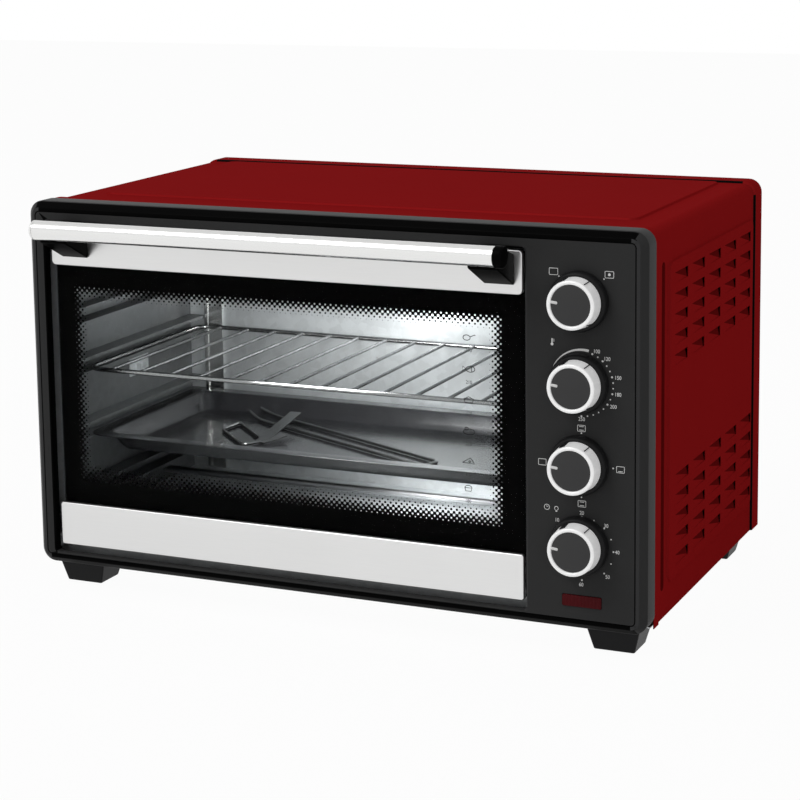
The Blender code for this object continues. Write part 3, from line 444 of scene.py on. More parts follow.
def shaded_paint():
    """Painted shade in the cover's pressed louvres and groove: its red lacquer at half the brightness."""
    shade = [channel * 0.5 for channel in bpy.context.scene.oven_body.red]
    look = {"bump": 0.12, "specular": 0.0, "tone": 0.15, "smudge": 0.12}
    return finish("Painted shade in the pressings", "coat", shade, 0.6, **look)


def black_paint():
    """Satin black enamel of the front frame."""
    black = bpy.context.scene.oven_body.black
    return finish("Black enamel", "coat", black, 0.42, bump=0.1, tone=0.2, smudge=0.1, specular=0.03)


def polished_rim():
    """Painted highlight on the front frame's upright edge strips and the right lip of its opening: a glossier
    copy of the black enamel.
    """
    black = (0.026, 0.026, 0.027)
    return finish("Rim with painted highlight", "coat", black, 0.3, bump=0.05, tone=0.1, smudge=0.3, specular=0.2)


def black_plastic():
    """Moulded black plastic of the knobs, feet and gland."""
    black = bpy.context.scene.oven_controls.plastic
    look = {"bump": 0.2, "specular": 0.12, "tone": 0.2, "smudge": 0.15, "scale": 1600.0}
    return finish("Black plastic", "coat", black, 0.45, **look)


def gloss_plastic():
    """Polished black plastic of the handle's brackets and cap; also painted shade, near black, on the frame's
    level edges, groove and opening's left wall and on the cover's rear fold.
    """
    look = {"bump": 0.08, "specular": 0.01, "tone": 0.3, "smudge": 0.3, "scale": 1200.0}
    return finish("Polished plastic and painted shade", "coat", (0.0025, 0.0025, 0.0025), 0.3, **look)


def dark_sheet():
    """Dark sheet of the back panel and the door's channel."""
    dark = (0.03, 0.03, 0.032)
    return finish("Dark sheet", "coat", dark, 0.5, metallic=0.3, bump=0.15, tone=0.3, smudge=0.3)


def zinc_sheet(name="Galvanised sheet", share=1.0):
    """Galvanised sheet of the cavity and the base, or a darker copy of it for painted shade."""
    grey = [channel * share for channel in bpy.context.scene.oven_inside.sheet]
    return finish(name, "zinc", grey, 0.45, metallic=0.6, tone=0.12, smudge=0.4, scale=160.0)


def metal(name, colour, roughness, bump, tone, smudge, scale, stretch=(1, 1, 1), metallic=1.0):
    """A bare or plated metal, with its scratches drawn out along one direction where it is stretched."""
    look = {"bump": bump, "tone": tone, "smudge": smudge, "scale": scale, "stretch": stretch}
    return finish(name, "brushed", colour, roughness, metallic=metallic, **look)


def brushed_steel():
    """Brushed steel of the door's two strips."""
    steel = bpy.context.scene.oven_door.steel
    return metal("Brushed steel", steel, 0.34, 0.06, 0.08, 0.15, 60.0, (0.6, 40, 40))


def bright_steel():
    """Polished steel of the handle bar and the cavity's corner strip."""
    return metal("Bright steel", (0.82, 0.82, 0.81), 0.2, 0.03, 0.05, 0.3, 50.0, (0.5, 30, 30))


def plain_steel():
    """Plain steel of the hidden fittings, rods and screws."""
    return metal("Plain steel", (0.5, 0.5, 0.51), 0.36, 0.08, 0.2, 0.3, 220.0)


def rack_plating():
    """Nickel plating of the rack and the loose tools."""
    return metal("Nickel plating", (0.3, 0.3, 0.3), 0.24, 0.04, 0.12, 0.4, 300.0)


def chrome():
    """Bright plated ring of the knobs, which glows a little to stay bright over the black panel."""
    bright = bpy.context.scene.oven_controls.ring
    made = metal("Bright plating", bright, 0.3, 0.02, 0.22, 0.3, 160.0, (1, 0.03, 1), metallic=0.15)
    principled(made)["Emission Color"].default_value = (1, 1, 1, 1)
    principled(made)["Emission Strength"].default_value = 0.2
    return made


def enamel():
    """Dark baked enamel of the tray."""
    dark = bpy.context.scene.oven_inside.enamel
    return finish("Tray enamel", "coat", dark, 0.22, bump=0.1, coat=0.6, tone=0.4, smudge=0.4, scale=500.0)


def knob_face():
    """Greyer satin plastic of the knobs' faces."""
    grey = bpy.context.scene.oven_controls.face
    look = {"bump": 0.12, "specular": 0.3, "tone": 0.12, "smudge": 0.12, "scale": 1800.0}
    return finish("Knob face", "coat", grey, 0.4, **look)


def white_print():
    """White ink of the dials and pointers."""
    white = bpy.context.scene.oven_controls.ink
    return finish("White ink", "coat", white, 0.6, bump=0.05, tone=0.08, smudge=0.1)


def grey_print():
    """Dark ink of the signs on the pane."""
    grey = (0.012, 0.012, 0.0125)
    return finish("Grey ink", "coat", grey, 0.6, bump=0.05, tone=0.08, smudge=0.1, specular=0.1)


# Settings


def colour_setting(name, description, default):
    """A colour that a settings group offers."""
    return bpy.props.FloatVectorProperty(
        name=name, description=description, subtype="COLOR", size=3, min=0, max=1, default=default
    )


def length_setting(name, description, default):
    """A length that a settings group offers, in metres."""
    return bpy.props.FloatProperty(
        name=name, description=description, subtype="DISTANCE", unit="LENGTH", min=0, default=default
    )


def power_setting(name, description, default):
    """A lamp's power that a settings group offers, in watts."""
    return bpy.props.FloatProperty(
        name=name, description=description, subtype="POWER", unit="POWER", min=0, default=default
    )


class OvenBodySettings(bpy.types.PropertyGroup):
    red: colour_setting("Cover", "Lacquer of the cover", (0.26, 0.0095, 0.0105))
    black: colour_setting("Frame", "Enamel of the front frame", (0.04, 0.04, 0.0402))
    step_slope: length_setting("Panel Slope", "Width of the pressed step round the cover's panels", 0.0016)
    louvre_depth: length_setting("Louvre Depth", "How deep the louvres are pressed at their open end", 0.0025)


class OvenDoorSettings(bpy.types.PropertyGroup):
    steel: colour_setting("Strips", "Brushed steel of the door's strips", (0.74, 0.74, 0.735))
    dot_pitch: length_setting("Dot Pitch", "Distance between printed dots in one row", 0.00475)
    dot_band: length_setting("Dot Band", "Width over which the printed dots fade out", 0.0125)
    strip_corner: length_setting("Strip Corner", "Corner radius of the strips", 0.004)


class OvenControlSettings(bpy.types.PropertyGroup):
    plastic: colour_setting("Knobs", "Plastic of the knobs and feet", (0.011, 0.011, 0.0115))
    face: colour_setting("Faces", "Plastic of the knobs' faces", (0.036, 0.036, 0.0365))
    ring: colour_setting("Rings", "Plating of the knobs' rings", (0.94, 0.94, 0.94))
    ink: colour_setting("Ink", "White ink of the dials and pointers", (0.86, 0.86, 0.85))
    number_height: length_setting("Numbers", "Height of the dials' numbers", 0.0030)
    stroke: length_setting("Stroke", "Width of the dials' printed lines", 0.0005)


class OvenInsideSettings(bpy.types.PropertyGroup):
    sheet: colour_setting("Cavity", "Galvanised sheet of the cavity", (0.62, 0.64, 0.65))
    enamel: colour_setting("Tray", "Enamel of the baking tray", (0.02, 0.02, 0.022))


class OvenStudioSettings(bpy.types.PropertyGroup):
    floor: colour_setting("Floor", "Paint of the studio floor", (0.8, 0.8, 0.8))
    lens: bpy.props.FloatProperty(
        name="Lens", description="Focal length on a 36 mm sensor", subtype="DISTANCE_CAMERA", default=99.589
    )
    key_power: power_setting("Key Lamp", "Power of the large front lamp", 35.0)
    oven_lamp: power_setting("Oven Lamp", "Power of the small lamp in the cavity", 0.7)
    sky: bpy.props.FloatProperty(name="Sky", description="Strength of the even light all round", default=0.42)


# Body

# The frame's sheet, its corners, its bevelled edge, and the rolled lip and turned-in wall of the door opening
SHEET = 0.001
FRAME_RADIUS, OPENING_RADIUS = 0.012, 0.004
FRAME_INSET, FRAME_BEVEL = 0.005, 0.006
LIP, TURNED_IN = 0.0012, 0.008
# How much of the frame stands left, right, below and above of the door opening
OPENING_MARGINS = (0.0165, 0.096, 0.010, 0.0155)
# Where the flat face ends, measured inwards from the bevel and in depth: a shallow groove, then a soft fold
FACE_EDGE = ((0.0040, 0), (0.0038, 0.0004), (0.0030, 0.0004), (0.0028, 0))
FACE_EDGE += ((0.0008, 0.0002), (0.0001, 0.0004), (-0.0004, 0.0009))
# The fold from the bevel into the skirt, measured inwards from the skirt and in depth from the bevel's end
SKIRT_FOLD = ((0.0006, -0.0005), (0.0001, 0.0001), (0, 0.0008))
# The width of the edge strip inside the bevel, and the depths of a level face and of the groove's floor,
# which pick out the faces given painted shade and painted highlight
EDGE_STRIP, LEVEL, GROOVE_FLOOR = 0.0029, 0.00045, 0.00035
# The radius of the shafts' holes, and the gap round the pilot lamp's lens
SHAFT_HOLE, LENS_GAP = 0.0035, 0.0003


class OVEN_OT_front_frame(bpy.types.Operator):
    """Make the pressed front frame, its bevelled edge and the turned-in door opening"""

    bl_idname = "oven.front_frame"
    bl_label = "Front Frame"

    def execute(self, context):
        left, right, _, skirt, low, high = span("front_frame")
        body = (left, right, low, high)
        opening = within(body, OPENING_MARGINS)
        bm = bmesh.new()
        walls = [self.outer_wall(bm, body, skirt), self.inner_wall(bm, opening)]
        walls += [self.shaft_hole(bm, knob_centre(key)) for key in CONTROLS]
        walls.append(self.lens_slot(bm))
        fill(bm, [rims[0] for rims in walls])
        fill(bm, [rims[-1] for rims in walls])
        self.shade(bm, body, opening)
        made = {"replaced": ("front_frame",), "sharp": 34}
        pressing = finished("front_frame_pressing", bm, "chassis", "black_steel", black_paint(), **made)
        # Material 1 is painted shade and material 2 painted highlight, given by the faces' place in shade()
        pressing.data.materials.append(gloss_plastic())
        pressing.data.materials.append(polished_rim())
        return {"FINISHED"}

    def outer_wall(self, bm, body, skirt):
        """The rims from the flat face over the bevel to the skirt's end, and back behind them."""
        folds = [(FRAME_INSET + inset, depth) for inset, depth in FACE_EDGE]
        folds += [(inset, FRAME_BEVEL + depth) for inset, depth in SKIRT_FOLD]
        folds += [(0, skirt), (SHEET, skirt)]
        folds += [(SHEET, FRAME_BEVEL + SHEET / 2), (FRAME_INSET + SHEET / 2, SHEET)]
        rims = [upright_rim(bm, body, FRAME_RADIUS, inset, depth, steps=8) for inset, depth in folds]
        skin(bm, rims)
        return rims

    def inner_wall(self, bm, opening):
        """The rims of the door opening: a rolled lip, the turned-in wall and back behind them."""
        angles = [math.radians(22.5 * step) for step in reversed(range(5))]
        folds = [(LIP * (1 - math.cos(angle)), LIP * (1 - math.sin(angle))) for angle in angles]
        folds += [(0, TURNED_IN), (SHEET, TURNED_IN), (SHEET, SHEET)]
        rims = [upright_rim(bm, opening, OPENING_RADIUS, -out, depth, steps=8) for out, depth in folds]
        skin(bm, rims)
        return rims

    def shaft_hole(self, bm, centre):
        """The two rims of a round hole for a control's shaft."""
        rims = []
        for depth in (0, SHEET):
            place = Matrix.Translation(centre + Vector((0, depth, 0))) @ Matrix.Rotation(math.pi / 2, 4, "X")
            ring = bmesh.ops.create_circle(bm, cap_ends=False, radius=SHAFT_HOLE, segments=24, matrix=place)
            rims.append(list({edge for vertex in ring["verts"] for edge in vertex.link_edges}))
        skin(bm, rims)
        return rims

    def lens_slot(self, bm):
        """The two rims of the slot round the pilot lamp's lens."""
        left, right, _, _, low, high = span("pilot_lamp_lens")
        sides = grown((left, right, low, high), LENS_GAP)
        rims = [upright_rim(bm, sides, 0.001, 0, depth, steps=3) for depth in (0, SHEET)]
        skin(bm, rims)
        return rims

    def shade(self, bm, body, opening):
        """Painted shade, a near-black copy, on the level edges, the groove and the opening's left wall;
        painted highlight, a glossier copy, on the upright edge strips and the right lip.
        """
        left, right, low, high = body
        for face in bm.faces:
            middle = face.calc_center_median()
            depths = [vertex.co.y - FACE_PLANE for vertex in face.verts]
            shallow, deep = min(depths), max(depths)
            beside = (right - left) / 2 - abs(middle.x)
            outward = min(beside, high - middle.z, middle.z - low)
            edge = outward < FRAME_INSET + EDGE_STRIP and deep < FRAME_BEVEL
            level = deep < LEVEL
            left_lip, right_lip = [abs(middle.x - side) < LIP + 0.0001 for side in opening[:2]]
            shaded_edge = edge and (level or beside > FRAME_INSET + EDGE_STRIP)
            groove = level and shallow > GROOVE_FLOOR
            left_wall = left_lip and deep < TURNED_IN + 0.0001
            # Painted shade on the level edges, the groove and the opening's left wall
            if groove or shaded_edge or left_wall:
                face.material_index = 1
            # Painted highlight on the upright edge strips and the right lip
            if edge and level and beside < FRAME_RADIUS or right_lip and deep < LIP * 0.7:
                face.material_index = 2


# How far the cover's panels are pressed out, its hems' widths, the front hem's fold, and how much wider the
# rear one is; then the length before the rear hem, and the least area, that pick out that fold's flat faces
# The rear fold's flat faces are given painted shade
PANEL_RISE, FRONT_HEM, REAR_HEM = 0.0018, 0.0116, 0.0195
HEM_FOLD, REAR_FOLD = 0.0012, 1.6
REAR_FOLD_ZONE, REAR_FOLD_AREA = 0.002, 0.00003
# The cover's sheet, and how much tighter its corners are than the frame's
COVER_SHEET, TIGHTER = 0.0008, 0.0006
# Margins of the pressed panels: each side and the front of the top one, the front, bottom and top of a side
# one, and the rear of both
TOP_SIDE, TOP_FRONT = 0.0297, 0.072
WALL_FRONT, WALL_LOW, WALL_HIGH = 0.0615, 0.0245, 0.0304
PANEL_REAR, PANEL_RADIUS = 0.0255, 0.008
# The upright groove: its front and rear, its margins below and above, its radius and its depth
GROOVE_FRONT, GROOVE_REAR, GROOVE_LOW, GROOVE_HIGH = 0.0455, 0.0535, 0.0225, 0.0290
GROOVE_RADIUS, GROOVE_DEPTH = 0.0038, 0.0022
# A louvre's length, half its height, and its depth along the lower edge as a share of that along the upper
LOUVRE_LENGTH, LOUVRE_HALF, LOUVRE_SHALLOW = 0.036, 0.00425, 0.35
# The open end's place in the first column with the columns' step, and the first row's margin from the
# cover's top or bottom with the rows' step
UPPER_LOUVRES = (0.1085, 0.0466, 0.0451, 0.0162)
LOWER_LOUVRES = (0.1135, 0.0470, 0.0391, 0.01635)


class OVEN_OT_cover(bpy.types.Operator):
    """Make the lacquered cover with its raised hems and panels, its grooves and its pressed louvres"""

    bl_idname = "oven.cover"
    bl_label = "Cover"

    def execute(self, context):
        bm = bmesh.new()
        self.bend(bm)
        flats = sorted(bm.faces, key=lambda face: face.calc_area())[-3:]
        top = max(flats, key=lambda face: face.calc_center_median().z)
        walls = [face for face in flats if face is not top]
        walls = {1 if face.calc_center_median().x > 0 else -1: list(face.edges) for face in walls}
        top_rim = list(top.edges)
        bmesh.ops.delete(bm, geom=flats, context="FACES_ONLY")
        self.top_wall(bm, top_rim, context.scene.oven_body)
        for side, rim in walls.items():
            self.side_wall(bm, side, rim, context.scene.oven_body)
        bmesh.ops.remove_doubles(bm, verts=bm.verts, dist=1e-6)
        bmesh.ops.recalc_face_normals(bm, faces=bm.faces)
        if max(bm.faces, key=lambda face: face.calc_center_median().z).normal.z < 0:
            bmesh.ops.reverse_faces(bm, faces=bm.faces)
        made = {"replaced": ("cover",), "thickness": COVER_SHEET}
        cover = finished("cover_pressing", bm, "chassis", "red_steel", red_paint(), **made)
        # Material 1 is painted shade in the louvres and groove; material 2 is near-black painted shade on the
        # rear fold
        cover.data.materials.append(shaded_paint())
        cover.data.materials.append(gloss_plastic())
        cover.modifiers.new("Flat panels", "WEIGHTED_NORMAL").keep_sharp = True
        return {"FINISHED"}

    def bend(self, bm):
        """The bare arch with its two raised hems; the fold by the rear hem gets painted shade, a near-black
        material.
        """
        left, right, front, rear, low, high = span("cover")

        def arch(below, depth):
            """A rim of the arch without its foot, set in by some."""
            sides = (left + below, right - below, low, high - below)
            radius = FRAME_RADIUS - TIGHTER - below
            rim = rim_of(bm, rounded_face(bm, sides, radius, facing(depth), 8, rounded=(2, 3)))
            foot = min(rim, key=lambda edge: edge.verts[0].co.z + edge.verts[1].co.z)
            rim.remove(foot)
            bmesh.ops.delete(bm, geom=[foot], context="EDGES")
            return rim

        rises = [PANEL_RISE * (1 - math.cos(math.pi * step / 6)) / 2 for step in range(7)]
        soft = [(rise, HEM_FOLD * step / 6) for step, rise in enumerate(rises)]
        hem_front, hem_rear = front + FRONT_HEM, rear - REAR_HEM
        arches = [arch(0, front)] + [arch(below, hem_front + along) for below, along in soft]
        arches += [arch(below, hem_rear - REAR_FOLD * along) for below, along in reversed(soft)]
        arches.append(arch(0, rear))
        for first, second in zip(arches, arches[1:]):
            bmesh.ops.bridge_loops(bm, edges=first + second)
        # Painted shade: the rear fold's flat faces get the near-black material 2
        for face in bm.faces:
            between = hem_rear - REAR_FOLD_ZONE < face.calc_center_median().y - FACE_PLANE < hem_rear
            if between and face.calc_area() > REAR_FOLD_AREA:
                face.material_index = 2

    def top_wall(self, bm, rim, sizes):
        """The top wall with its raised panel."""
        left, right, _, rear, _, high = span("cover")
        panel = (left + TOP_SIDE, right - TOP_SIDE, TOP_FRONT, rear - PANEL_REAR)

        def put(depth):
            """Puts a pair, across and depth, flat on the top, sunk by some."""
            return lying(high - depth)

        outer, floor = self.press(bm, panel, PANEL_RADIUS, (PANEL_RISE, 0), sizes.step_slope, put)
        fill(bm, [rim, outer])
        fill(bm, [floor])

    def side_wall(self, bm, side, rim, sizes):
        """A side wall with its raised panel, its upright groove and its louvres."""
        left, right, _, rear, low, high = span("cover")
        surface = right if side > 0 else left

        def put(depth):
            """Puts a pair, depth and up, upright on this side, sunk by some."""
            return sideways(surface - side * depth)

        panel = (WALL_FRONT, rear - PANEL_REAR, low + WALL_LOW, high - WALL_HIGH)
        outer, floor = self.press(bm, panel, PANEL_RADIUS, (PANEL_RISE, 0), sizes.step_slope, put)
        groove = (GROOVE_FRONT, GROOVE_REAR, low + GROOVE_LOW, high - GROOVE_HIGH)
        sunk = (PANEL_RISE, PANEL_RISE + GROOVE_DEPTH)
        before = set(bm.faces)
        mouth, bottom = self.press(bm, groove, GROOVE_RADIUS, sunk, GROOVE_DEPTH, put)
        fill(bm, [bottom])
        # The groove's walls and floor get painted shade
        for face in set(bm.faces) - before:
            face.material_index = 1
        fill(bm, [rim, outer, mouth])
        mouths = []
        for row in range(5):
            for column in range(5):
                for end, way, louvres in ((high, -1, UPPER_LOUVRES), (low, 1, LOWER_LOUVRES)):
                    first, along, margin, up = louvres
                    place = (first + along * column, end + way * margin + way * up * row)
                    mouths.append(self.louvre(bm, put, *place, sizes.louvre_depth))
        fill(bm, [floor] + mouths)

    def press(self, bm, sides, radius, depths, slope, put):
        """The soft step round a rounded panel, from one depth to another; gives its outer and inner rim."""
        rims = []
        for step in range(9):
            share = step / 8
            depth = depths[0] + (depths[1] - depths[0]) * (1 - math.cos(math.pi * share)) / 2
            face = rounded_face(bm, grown(sides, -slope * share), radius - slope * share, put(depth), steps=8)
            rims.append(rim_of(bm, face))
        skin(bm, rims)
        return rims[0], rims[-1]

    def louvre(self, bm, put, rear, height, depth):
        """One louvre: two folds that sink to the rear and open there, deepest along the upper edge."""
        front, low, high = rear - LOUVRE_LENGTH, height - LOUVRE_HALF, height + LOUVRE_HALF
        pairs = ((front, low), (rear, low), (rear, high), (front, high))
        mouth = [bm.verts.new(put(0)(*pair)) for pair in pairs]
        shallow = bm.verts.new(put(depth * LOUVRE_SHALLOW)(rear, low))
        deep = bm.verts.new(put(depth)(rear, high))
        bm.faces.new((mouth[0], shallow, mouth[3]))
        # The faces by the upper edge get painted shade
        bm.faces.new((mouth[3], shallow, deep)).material_index = 1
        bm.faces.new((mouth[0], mouth[1], shallow))
        bm.faces.new((mouth[3], deep, mouth[2])).material_index = 1
        opening = bm.edges.new((mouth[1], mouth[2]))
        corners = ((0, 1), (2, 3), (3, 0))
        return [bm.edges.get((mouth[first], mouth[second])) for first, second in corners] + [opening]


# The rear screws: along the top with their margin below it, and near the bottom with their height
TOP_SCREWS, TOP_SCREW_MARGIN = (-0.235, 0, 0.235), 0.012
LOW_SCREWS, LOW_SCREW_UP = (-0.245, 0.245), 0.04
SCREW_RADIUS, SCREW_FLATNESS = 0.0028, 0.32
# The height at which a screw's cross stands, and the size of each of its arms
CROSS_UP, CROSS_ARM = 0.00085, (0.0026, 0.0005, 0.0002)


class OVEN_OT_shell(bpy.types.Operator):
    """Make the back, base, feet, gland, pilot lamp and the cover's rear screws"""

    bl_idname = "oven.shell"
    bl_label = "Shell"

    def execute(self, context):
        softened("back_panel", "chassis", "dark_steel", dark_sheet(), 0.0002)
        softened("base_plate", "chassis", "galvanised_steel", zinc_sheet(), 0.0002)
        for side in ("front_left", "front_right", "rear_left", "rear_right"):
            softened(f"foot_{side}", "chassis", "black_plastic", black_plastic(), 0.0012, edge_steps=3)
        softened("cord_gland", "chassis", "black_plastic", black_plastic(), 0.0004)
        refinish(black_plastic(), "pilot_lamp_holder")
        self.lamp()
        rear, high = span("cover")[3], span("cover")[5]
        bm = bmesh.new()
        for across in TOP_SCREWS:
            self.screw(bm, at(across, rear, high - TOP_SCREW_MARGIN), Vector((0, 1, 0)))
        for across in LOW_SCREWS:
            self.screw(bm, at(across, rear, LOW_SCREW_UP), Vector((0, 1, 0)))
        finished("cover_screws", bm, "chassis", "dark_steel", dark_sheet(), edge=0.00015)
        return {"FINISHED"}

    def screw(self, bm, place, outwards):
        """A low domed screw head with a fine cross on it."""
        turn = Vector((0, 0, 1)).rotation_difference(outwards).to_matrix().to_4x4()
        put = Matrix.Translation(place) @ turn
        ball = bmesh.ops.create_uvsphere(bm, u_segments=20, v_segments=8, radius=SCREW_RADIUS, matrix=put)
        bmesh.ops.scale(bm, vec=(1, 1, SCREW_FLATNESS), space=put.inverted(), verts=ball["verts"])
        for angle in (0, math.pi / 2):
            arm = bmesh.ops.create_cube(bm, size=1)["verts"]
            shape = Matrix.Translation((0, 0, CROSS_UP)) @ Matrix.Rotation(angle, 4, "Z")
            size = Matrix.Diagonal((*CROSS_ARM, 1))
            bmesh.ops.transform(bm, matrix=put @ shape @ size, verts=arm)

    def lamp(self):
        """The pilot lamp's ribbed red lens."""
        left, right, front, rear, low, high = span("pilot_lamp_lens")
        sides = (left, right, low, high)
        folds = ((0, rear), (0, front + 0.0006), (0.0002, front + 0.00025), (0.0006, front))
        bm = bmesh.new()
        closed_skin(bm, [upright_rim(bm, sides, 0.0012, inset, depth, steps=5) for inset, depth in folds])
        finished("pilot_lens_ribbed", bm, "chassis", "lamp_lens", ribbed_red(), ("pilot_lamp_lens",))


def ribbed_red():
    """Red plastic of the pilot lamp's lens, with upright ribs."""
    look = {"bump": 0.0, "specular": 0.05, "tone": 0.3, "smudge": 0.2}
    lens = finish("Red lens", "coat", (0.075, 0.006, 0.008), 0.25, **look)
    tree = lens.node_tree
    ribs = put_node(
        tree,
        "ShaderNodeTexWave",
        {"Vector": object_place(tree), "Scale": 110.0, "Distortion": 0.0},
        wave_type="BANDS",
        bands_direction="X",
    )
    relief = {"Height": ribs.outputs["Fac"], "Strength": 0.4, "Distance": 0.0006}
    tree.links.new(put_node(tree, "ShaderNodeBump", relief).outputs[0], principled(lens)["Normal"])
    return lens


# Door

# The strips' rolled edge and sheet, and their gap to the pane
STRIP_ROLL, STRIP_SHEET, PANE_GAP = 0.0014, 0.0011, 0.0003
# Margins of the pane's clear part, and of the band in which the print breaks up: left, right, bottom and top
CLEAR_MARGINS = (0.0265, 0.030, 0.0430, 0.0365)
DOT_MARGINS = (0.0152, 0.0178, 0.0222, 0.0226)
CORNER_BLEND = 0.004
# The print's margin to the pane's edge, the depths of its two sides and of the signs behind the pane
PRINT_MARGIN, PRINT_NEAR, PRINT_FAR, SIGN_DEPTH = 0.0006, 0.00006, 0.00012, 0.0003
# The corner radii of the print and of the clear part
PRINT_RADIUS, CLEAR_RADIUS = 0.001, 0.006
# The printed signs: their heights with their temperatures, the column's place and its lean from row to row
SIGNS = ((0.2410, 190), (0.2157, 210), (0.1911, 220), (0.1663, 210), (0.1423, 200), (0.1205, 180))
SIGN_ACROSS, SIGN_LEAN, SIGN_STROKE = 0.1230, 0.0003, 0.0007
HEAT_BELOW, HEAT_HEIGHT = 0.0104, 0.0029


class OVEN_OT_door(bpy.types.Operator):
    """Make the door's strips, glass pane and printed border of dots"""

    bl_idname = "oven.door"
    bl_label = "Door"

    def execute(self, context):
        sizes = context.scene.oven_door
        softened("door_frame", "door", "black_steel", dark_sheet(), 0.0002)
        self.strip("door_strip_upper", sizes.strip_corner)
        self.strip("door_strip_lower", sizes.strip_corner * 0.6)
        self.glass()
        self.printing(sizes)
        refinish(plain_steel(), "hinge_pin_left", "hinge_pin_right", "hinge_plate_left", "hinge_plate_right")
        return {"FINISHED"}

    def strip(self, node, corner):
        """A brushed strip: a flat face with a softly rolled edge, folded back over the door's edge."""
        left, right, front, _, low, high = span(node)
        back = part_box("door_glass")[0].y - FACE_PLANE - PANE_GAP
        bm = bmesh.new()

        def rim(inset, radius, depth):
            """A rim of the strip, set in by some."""
            sides = grown((left, right, low, high), -inset)
            return rim_of(bm, rounded_face(bm, sides, radius, facing(depth)))

        rims = []
        for step in range(6):
            angle = math.radians(18 * step)
            inset = STRIP_ROLL * (1 - math.sin(angle))
            rims.append(rim(inset, corner - inset * 0.8, front + STRIP_ROLL * (1 - math.cos(angle))))
        rims.append(rim(0, corner, back))
        rims += [rim(STRIP_SHEET, corner - 0.0009, depth) for depth in (back, front + STRIP_SHEET)]
        closed_skin(bm, rims)
        finished(f"{node}_brushed", bm, "door", "brushed_strip", brushed_steel(), (node,))

    def glass(self):
        """The clear pane with ground edges."""
        softened("door_glass", "door", "door_pane", pane_glass(), 0.0004, name="door_pane_clear")

    def printing(self, sizes):
        """The black printed border behind the pane, which breaks up into dots round the clear part."""
        left, right, _, rear, low, high = span("door_glass")
        sides = (left, right, low, high)
        pane = (grown(sides, -PRINT_MARGIN), PRINT_RADIUS)
        clear = (within(sides, CLEAR_MARGINS), CLEAR_RADIUS)
        near, far = rear + PRINT_NEAR, rear + PRINT_FAR
        rims = []
        bm = bmesh.new()
        for (shape, radius), depth in ((clear, near), (pane, near), (pane, far), (clear, far)):
            rims.append(upright_rim(bm, shape, radius, 0, depth, steps=4))
        skin(bm, [rims[1], rims[2]])
        skin(bm, [rims[0], rims[3]])
        fill(bm, rims[:2])
        fill(bm, rims[2:])
        finished("door_pane_print", bm, "door", "door_pane", dotted_print(within(sides, DOT_MARGINS), sizes))
        self.signs(rear)

    def signs(self, rear):
        """Dark outlines of six dishes in a column, each above its temperature."""
        bm = bmesh.new()
        for row, ((up, heat), outlines) in enumerate(zip(SIGNS, self.dishes())):
            across = SIGN_ACROSS - SIGN_LEAN * row
            for outline in outlines:
                path = [at(across + x / 1000, 0, up + z / 1000) for x, z in outline]
                flat_print(bm, [path], SIGN_STROKE)
            add_number(bm, heat, across, up - HEAT_BELOW, HEAT_HEIGHT)
        bmesh.ops.translate(bm, vec=(0, rear + SIGN_DEPTH, 0), verts=bm.verts)
        finished("door_pane_signs", bm, "door", "door_pane", grey_print())

    def dishes(self):
        """The outlines, in millimetres: a leg, a fish, a pot, a roast, a slice and a cake."""
        leg = (oval(-2, -0.5, 3, 2.1), [(0.8, 0.1), (4.6, 1.9), (5.4, 1.3)])
        tail = [(-2.6, 0.3), (-5.2, 2), (-5.2, -1.8), (-2.6, -0.3)]
        fish = (oval(1.2, 0, 3.8, 2.4), tail, [(2.6, 2), (2, 0), (2.6, -2)])
        pot = ([(-4, 1.2), (4, 1.2), (3, -2.2), (-3, -2.2), (-4, 1.2)], [(-3, 1.2), (0, 2.6), (3, 1.2)])
        roast = (oval(0.4, -0.6, 4.8, 2.3), oval(-1.6, 1.8, 1.4, 1.2))
        wedge = [(-5, -1.4), (5, -2), (1.6, 2.6), (-5, -1.4)]
        pizza = (wedge, oval(1, -0.4, 0.8, 0.6), [(2.2, 1.8), (3.6, 0.4), (4.2, -1.2)])
        cake = ([(-3, 0.2), (3, 0.2), (2.2, -2.4), (-2.2, -2.4), (-3, 0.2)], oval(0, 0.2, 3, 2, 180))
        return leg, fish, pot, roast, pizza, cake


def oval(x, z, width, height, turn=360):
    """Points of an oval, or of its upper half."""
    angles = [math.radians(angle) for angle in range(0, turn + 1, 20)]
    return [(x + width * math.cos(angle), z + height * math.sin(angle)) for angle in angles]


def pane_glass():
    """Clear glass that lets the light of the lamps through to the cavity."""
    known = bpy.data.materials.get("Pane glass")
    if known:
        return known
    clear = (0.93, 0.95, 0.95)
    material = finish("Pane glass", "coat", clear, 0.02, bump=0.0, tone=0.03, smudge=0.3, scale=40.0)
    tree = material.node_tree
    shader = tree.nodes["Principled BSDF"]
    shader.inputs["Transmission Weight"].default_value = 1.0
    shader.inputs["IOR"].default_value = 1.02
    see_through = put_node(tree, "ShaderNodeBsdfTransparent", {"Color": (*clear, 1)})
    shadow = put_node(tree, "ShaderNodeLightPath").outputs["Is Shadow Ray"]
    parts = {0: shadow, 1: shader.outputs[0], 2: see_through.outputs[0]}
    mixed = put_node(tree, "ShaderNodeMixShader", parts)
    tree.links.new(mixed.outputs[0], tree.nodes["Material Output"].inputs["Surface"])
    return material


